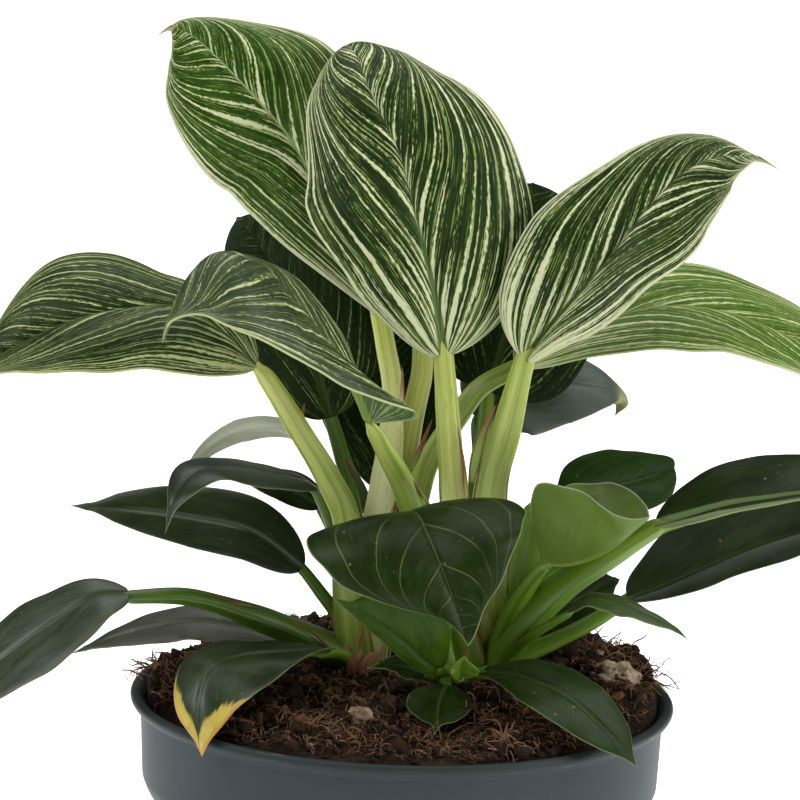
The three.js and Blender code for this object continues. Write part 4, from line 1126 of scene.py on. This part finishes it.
def roundOff(profile, turns=3):  # softens the corners of a closed profile, its ends on the axis kept
    for _ in range(turns):
        softer = [profile[0]]
        for (r1, z1), (r2, z2) in zip(profile, profile[1:]):
            length = math.hypot(r2 - r1, z2 - z1)
            cut = min(0.25, 0.35 / max(length, 0.001))
            softer.append((r1 + cut * (r2 - r1), z1 + cut * (z2 - z1)))
            softer.append((r2 - cut * (r2 - r1), z2 - cut * (z2 - z1)))
        profile = softer + [profile[-1]]
    return profile


def makePot():
    height = pot["height"]
    lip = pot["lip"]
    under = height - pot["lipDrop"]
    collar = pot["collar"]
    foot = pot["collarFoot"]
    body = pot["body"]
    shoulder = pot["shoulder"]
    inner = body - pot["wall"] - 0.4
    outside = [(0, 0), (pot["base"] - pot["chamfer"], 0), (pot["base"], pot["chamfer"]),
               (body - 0.8, shoulder - 4), (body, shoulder), (body + 1.6, shoulder + 3.5),
               (collar - 1.5, foot - 0.5), (collar - 0.5, foot + 2), (collar + 0.2, under - 0.6)]
    rim = [(lip - 0.7, under), (lip, under + pot["lipDrop"] / 2), (lip - 0.4, height - 0.3),
           (lip - 1.1, height), (lip - 2.2, height - 0.3)]
    inside = [(collar - pot["wall"] + 0.7, height - 1.8), (collar - pot["wall"] - 0.4, foot + 2),
              (inner + 1.6, shoulder + 4), (inner, shoulder), (pot["base"] - pot["wall"] + 0.1, pot["floor"]),
              (0, pot["floor"])]
    profile = roundOff(outside + rim + inside)
    profile = [point for k, point in enumerate(profile) if k == 0 or math.dist(point, profile[k - 1]) > 0.02]
    heap = Heap()
    addTurned(heap, [(0 if abs(r) < 0.5 else r, z) for r, z in profile], pot["sectors"])
    shell = heap.piece("pot_shell", potFinish(), "pot", ["pot"])
    drills = bmesh.new()
    for k in range(pot["drainHoles"]):
        angle = 2 * math.pi * (k + 0.5) / pot["drainHoles"]
        spot = Matrix.Translation((pot["drainCircle"] * math.cos(angle) * mm,
                                   pot["drainCircle"] * math.sin(angle) * mm, 0.001))
        radius = pot["drainRadius"] * mm
        bmesh.ops.create_cone(drills, cap_ends=True, segments=36, radius1=radius, radius2=radius,
                              depth=0.008, matrix=spot)
    mesh = bpy.data.meshes.new("drills")
    drills.to_mesh(mesh)
    drills.free()
    cutter = bpy.data.objects.new("drills", mesh)
    scene.collection.objects.link(cutter)
    cut = shell.modifiers.new("drain", "BOOLEAN")
    cut.object = cutter
    cut.solver = "EXACT"
    depsgraph = bpy.context.evaluated_depsgraph_get()
    shell.data = bpy.data.meshes.new_from_object(shell.evaluated_get(depsgraph))
    shell.modifiers.clear()
    bpy.data.objects.remove(cutter)


def potFinish():
    skin = Finish("potPlastic", Specular_IOR_Level=0.12)
    place = skin.place()
    x, y, z = (skin.node("ShaderNodeSeparateXYZ", {}, {0: place}, axis) for axis in range(3))
    cloud = skin.noise(place, 14, 3, 0.6)
    grain = skin.noise(place, 900, 2)
    lip = z.step(102.2 * mm, 103.0 * mm)
    scuff = skin.noise(skin.point(x * 60, y * 60, z * 900), 1, 3, 0.7).step(0.62, 0.72)
    mark = skin.noise(skin.point(x * 700, y * 700, z * 90), 1, 3, 0.65).step(0.66, 0.74)
    skin.colour = skin.mix(cloud.step(0.35, 0.7), *pot["plastic"])
    skin.coat(mark * 0.25, pot["mark"])
    # painted shade: the lip is coloured darker than the body; the scuffs laid over it are real wear
    skin.coat(lip, skin.mix(cloud.step(0.4, 0.6), *pot["lipShadedPlastic"]))
    skin.coat(lip * scuff * 0.5, pot["scuff"])
    skin.paint(Base_Color=skin.colour, Roughness=0.42 + cloud * 0.12 + mark * 0.1)
    skin.bump(grain + mark * 0.6, 0.12, 0.1 * mm)
    return skin.material


# Soil
soil = dict(
    edge=104.2, mound=6.7, inner=56.8, gap=0.3, rings=105, sectors=330,
    heaps=[  # where, how high, and how far it spreads
        (-51, -5, 5.2, 11), (53, 13, 4.5, 8), (50, -12, 2.5, 7), (34, 30, 5, 26.5), (-26, 34, 3, 22.4),
        (8, -36, -3.2, 12.6),
    ],
    earth=[(0.002, 0.0013, 0.0008), (0.022, 0.012, 0.006)], clods=(0.05, 0.026, 0.013),
    flecks=(0.17, 0.1, 0.05),
)


def bump(x, y, cx, cy, height, spreadOut):
    return height * np.exp(-((x - cx) ** 2 + (y - cy) ** 2) / spreadOut ** 2)


def soilHeight(x, y):
    r = np.hypot(x, y) / pot["collar"]
    mound = soil["mound"] * (1 - r ** 4) * (1 + 0.25 * np.minimum(y / pot["collar"], 0))
    heaps = sum(bump(x, y, *heap) for heap in soil["heaps"])
    lumps = 0.9 * np.sin(x * 0.31 + 1.2) * np.sin(y * 0.27 + 0.4) + 0.5 * np.sin(x * 0.63 + y * 0.55)
    return soil["edge"] + mound + heaps + lumps * (1 - r ** 6)


def rough(x, y):  # clods and crumbs standing above the even surface
    big = noise.noise(Vector((x * 0.16, y * 0.16, 3)))
    clod = noise.noise(Vector((x * 0.42, y * 0.42, 8)))
    crumb = noise.noise(Vector((x * 1.1, y * 1.1, 1)))
    grit = noise.noise(Vector((x * 2.6, y * 2.6, 5)))
    return 1.1 * big + 1.2 * abs(clod) + 0.75 * abs(crumb) + 0.35 * grit - 0.7


def groundAt(x, y):
    r = math.hypot(x, y)
    calm = 1 - float(smooth(r, soil["inner"] - 3.5, soil["inner"] - 0.6))
    return float(soilHeight(x, y)) + rough(x, y) * (0.35 + 0.65 * calm)


def makeSoilBed():
    top = soil["inner"] - 2 * soil["gap"]
    points = []
    for ring in range(1, soil["rings"] + 1):
        radius = top * ring / soil["rings"]
        for k in range(soil["sectors"]):
            angle = 2 * math.pi * (k + 0.5 * (ring % 2)) / soil["sectors"]
            x = radius * math.cos(angle)
            y = radius * math.sin(angle)
            points.append((x, y, groundAt(x, y)))
    bottom = pot["floor"] + soil["gap"]
    sides = [(top, soil["edge"] - 3), (top - 1.3, 87), (pot["body"] - pot["wall"] - 1, pot["shoulder"]),
             (pot["base"] - pot["wall"] - 0.5, bottom)]
    for radius, height in sides:
        for k in range(soil["sectors"]):
            angle = 2 * math.pi * k / soil["sectors"]
            points.append((radius * math.cos(angle), radius * math.sin(angle), height))
    count = soil["sectors"]
    rings = soil["rings"] + len(sides)
    faces = [(a, d, c, b) for a, b, c, d in tubeFaces(rings, count)]
    points += [(0, 0, groundAt(0, 0)), (0, 0, bottom)]
    middle = rings * count
    last = middle - count
    faces += [(middle, k, (k + 1) % count) for k in range(count)]
    faces += [(middle + 1, last + (k + 1) % count, last + k) for k in range(count)]
    makePiece("soil_bed", points, faces, soilFinish(), ["soil"])


def soilFinish():
    skin = Finish("pottingSoil", Roughness=0.95, Specular_IOR_Level=0.12)
    place = skin.place()
    damp = skin.noise(place, 90, 4, 0.6)
    crumb = skin.noise(place, 900, 5, 0.65)
    skin.colour = skin.mix(crumb.step(0.3, 0.7), *soil["earth"])
    skin.coat(damp.step(0.5, 0.72) * 0.5, soil["clods"])
    fleck = skin.cells(place, 700).step(0.2, 0.1) * crumb.step(0.5, 0.6)
    skin.coat(fleck * 0.5, soil["flecks"])
    skin.paint(Base_Color=skin.colour)
    skin.bump(crumb + damp, 0.8, 0.6 * mm)
    return skin.material


def lumpShape(detail):
    shape = bmesh.new()
    bmesh.ops.create_icosphere(shape, subdivisions=detail, radius=1)
    points = np.array([vertex.co[:] for vertex in shape.verts])
    faces = [[vertex.index for vertex in face.verts] for face in shape.faces]
    shape.free()
    return points, faces


def mostlySmall(kind):
    return chance.uniform(*kind["size"]) + (chance.random() < kind["share"]) * chance.uniform(*kind["extra"])


def anywhere(reach):
    radius = reach * math.sqrt(chance.random())
    angle = chance.uniform(0, 2 * math.pi)
    return radius * math.cos(angle), radius * math.sin(angle)


def knobs(points, depth, fineness, shift):
    height = np.array([noise.noise(Vector(p) * fineness + Vector(shift)) for p in points])
    return (1 + depth * height)[:, None]


def settle(heap, shape, faces, x, y, lift, darker=1):  # turned anyhow and laid on the soil
    axis = Vector([chance.gauss(0, 1) for _ in range(3)]).normalized()
    turn = np.array(Matrix.Rotation(chance.uniform(0, 2 * math.pi), 3, axis))
    points = shape @ turn.T + (x, y, groundAt(x, y) + lift)
    heap.add(points, faces, tone=np.tile([chance.random() ** darker, 0, 0], (len(points), 1)))


def crumbFinish(name, kind):
    skin = Finish(name, Roughness=0.92, Specular_IOR_Level=0.15)
    tone = skin.parts("tone")[0]
    grain = skin.noise(skin.place(), 1300, 4, 0.65)
    skin.colour = skin.mix(grain.step(0.3, 0.7) * 0.5 + tone * 0.5, kind["dark"], kind["light"])
    skin.paint(Base_Color=skin.colour)
    skin.bump(grain, 0.7, 0.3 * mm)
    return skin.material


crumbs = dict(
    count=2200, reach=55.8, size=(0.35, 0.9), share=0.12, extra=(0.4, 1.4),  # a share is larger
    dark=(0.004, 0.0025, 0.0015), light=(0.055, 0.027, 0.014),
)


def makeCrumbs():
    ball, faces = lumpShape(2)
    heap = Heap()
    for _ in range(crumbs["count"]):
        x, y = anywhere(crumbs["reach"])
        size = mostlySmall(crumbs)
        stretch = np.array([chance.uniform(0.7, 1.4), chance.uniform(0.7, 1.2), chance.uniform(0.55, 0.9)])
        shape = ball * knobs(ball, 0.8, 1.7, (chance.uniform(0, 50), 0, 0)) * stretch * size
        settle(heap, shape, faces, x, y, size * 0.15, darker=2)
    heap.piece("soil_crumbs", crumbFinish("soilCrumb", crumbs), "soil")


fibres = dict(
    count=2700, reach=54.5, edge=56, size=(1.5, 5), share=0.12, extra=(3, 9), sides=4,
    dark=(0.012, 0.006, 0.0035), light=(0.33, 0.18, 0.095),
    tufts=[  # where a clump of fibre stands up, how many strands, how long, and which way it leans
        dict(at=(-54, -3), count=34, length=7, lean=(-0.7, -0.2)),
        dict(at=(-48, -16), count=30, length=6, lean=(-0.4, -0.5)),
        dict(at=(45, 12), count=24, length=9, lean=(0.3, -0.2)),
        dict(at=(53, 6), count=26, length=8, lean=(0.8, -0.1)),
        dict(at=(17, -30), count=40, length=8, lean=(0, -0.4)),
        dict(at=(8, -44), count=40, length=7, lean=(0.4, -0.4)),
        dict(at=(24, -46), count=34, length=7, lean=(-0.4, -0.3)),
        dict(at=(-14, -44), count=26, length=6, lean=(0.2, -0.5)),
    ],
)


def addStrand(heap, line, thick, tone):
    sides = fibres["sides"]
    route = Route(line)
    rings = max(6, int(route.length * 1.1))
    s = np.linspace(0, 1, rings)
    centre = route.at(s)
    tangent = route.heading(s)
    side = unit(np.cross(tangent, (0.31, 0.22, 0.92)) + 1e-6)
    other = np.cross(tangent, side)
    radius = thick / 2 * (0.25 + 0.75 * np.sin(math.pi * np.clip(s, 0.03, 0.97)) ** 0.4)
    angles = np.linspace(0, 2 * math.pi, sides, endpoint=False)
    rim = np.cos(angles)[None, :, None] * side[:, None] + np.sin(angles)[None, :, None] * other[:, None]
    points = (centre[:, None] + rim * radius[:, None, None]).reshape(-1, 3)
    heap.add(points, closedTube(rings, sides), tone=np.tile([tone, 0, 0], (len(points), 1)))


def strandOver(x, y, length, lift):  # a bent fibre lying on the soil
    heading = chance.uniform(0, 2 * math.pi)
    line = []
    steps = 6
    for k in range(steps + 1):
        line.append((x, y, groundAt(x, y) + lift * math.sin(math.pi * k / steps) + 0.15))
        heading += chance.gauss(0, 0.55)
        x += length / steps * math.cos(heading)
        y += length / steps * math.sin(heading)
        if math.hypot(x, y) > fibres["edge"]:  # turned back from the pot's wall
            heading += math.pi
            x *= (fibres["edge"] - 1) / math.hypot(x, y)
            y *= (fibres["edge"] - 1) / math.hypot(x, y)
    return line


def makeFibres():
    heap = Heap()
    for _ in range(fibres["count"]):
        x, y = anywhere(fibres["reach"])
        length = mostlySmall(fibres)
        lift = chance.uniform(0.2, 1.4)
        addStrand(heap, strandOver(x, y, length, lift), chance.uniform(0.1, 0.26), chance.random())
    for tuft in fibres["tufts"]:
        for _ in range(tuft["count"]):
            x = tuft["at"][0] + chance.gauss(0, 2.2)
            y = tuft["at"][1] + chance.gauss(0, 2.2)
            start = Vector((x, y, groundAt(x, y) - 0.3))
            way = Vector((tuft["lean"][0] + chance.gauss(0, 0.4), tuft["lean"][1] + chance.gauss(0, 0.4),
                          chance.uniform(0.1, 0.8))).normalized()
            line = [tuple(start)]
            steps = 5
            for _ in range(steps):
                start = start + way * tuft["length"] * chance.uniform(0.6, 1.2) / steps
                way = (way + Vector([chance.gauss(0, 0.35) for _ in range(3)])).normalized()
                way.z -= 0.12
                if math.hypot(start.x, start.y) < 54:
                    start.z = max(start.z, groundAt(start.x, start.y) + 0.1)
                line.append(tuple(start))
            addStrand(heap, line, chance.uniform(0.15, 0.4), chance.random())
    heap.piece("soil_fibres", crumbFinish("soilFibre", fibres), "soil")


chips = dict(
    count=150, reach=52, size=(1.2, 4.2), thick=(0.3, 0.8), dark=(0.03, 0.015, 0.008), light=(0.2, 0.1, 0.05),
)


def makeChips():
    ball, faces = lumpShape(2)
    heap = Heap()
    for _ in range(chips["count"]):
        x, y = anywhere(chips["reach"])
        long = chance.uniform(*chips["size"])
        wide = long * chance.uniform(0.3, 0.7)
        deep = chance.uniform(*chips["thick"])
        knobbed = knobs(ball, 0.3, 1.4, (0, chance.uniform(0, 40), 0))
        shape = np.sign(ball) * np.abs(ball) ** 0.6 * knobbed * (long / 2, wide / 2, deep / 2)
        settle(heap, shape, faces, x, y, 0.4)
    heap.piece("bark_chips", crumbFinish("barkChip", chips), "soil")


grit = dict(count=45, reach=52, size=(0.15, 0.5), dark=(0.25, 0.2, 0.15), light=(0.55, 0.5, 0.42))


def makeGrit():
    ball, faces = lumpShape(2)
    heap = Heap()
    for _ in range(grit["count"]):
        x, y = anywhere(grit["reach"])
        size = chance.uniform(*grit["size"])
        shape = ball * knobs(ball, 0.5, 1.9, (0, 0, chance.uniform(0, 40))) * size
        settle(heap, shape, faces, x, y, size * 0.4)
    heap.piece("white_grit", crumbFinish("whiteGrit", grit), "soil")


# Pumice
pumice = dict(
    stone=[(0.22, 0.16, 0.1), (0.44, 0.36, 0.26)], stain=(0.14, 0.08, 0.045), pit=(0.03, 0.018, 0.01),
    lumps=[
        dict(name="pumice_right", at=(46, 3, 109), size=(6.5, 4.5, 4), dirt=0.02),
        dict(name="pumice_right_small", at=(42.5, 12, 111), size=(2.8, 2.4, 2.4), dirt=0),
        dict(name="pumice_front", at=(-9, -35, 108.6), size=(3, 2.6, 2.4), dirt=0.1),
    ],
)


def makePumice():
    ball, faces = lumpShape(5)
    skin = Finish("pumiceStone", Roughness=0.9, Specular_IOR_Level=0.3)
    grain = skin.noise(skin.place(), 1100, 5, 0.65)
    stain = skin.noise(skin.place(), 260, 3)
    pit, dirt = skin.parts("tone")[:2]
    skin.colour = skin.mix(grain.step(0.3, 0.7), *pumice["stone"])
    skin.coat((stain + dirt).step(0.52, 0.64) * 0.75, pumice["stain"])
    skin.coat(pit, pumice["pit"])
    skin.paint(Base_Color=skin.colour)
    skin.bump(grain, 0.7, 0.35 * mm)
    for number, stone in enumerate(pumice["lumps"]):
        heap = Heap()
        size = np.array(stone["size"])
        points = []
        pits = []
        for p in ball:
            spot = Vector(p) * 2.1 + Vector((number * 7, 0, 0))
            knob = 0.2 * noise.noise(spot) + 0.11 * noise.noise(spot * 2.7) + 0.05 * noise.noise(spot * 6)
            hole = noise.voronoi(spot * 1.6)[0][0]
            pore = float(smooth(hole, 0.28, 0.12))
            points.append(stone["at"] + p * size * (0.95 + knob - 0.2 * pore))
            pits.append((pore, stone["dirt"], 0))
        heap.add(points, faces, tone=pits)
        heap.piece(stone["name"] + "_fine", skin.material, "pumice", [stone["name"]])


makeCamera()
makeStudio()
makeFloor()
print("camera, light and floor are set")
makeLeaves()
print("leaves are grown")
makeStalks()
print("stalks are grown")
makePot()
print("pot is turned")
makeSoilBed()
makeCrumbs()
makeFibres()
makeChips()
makeGrit()
makePumice()
print("soil and pumice are laid")
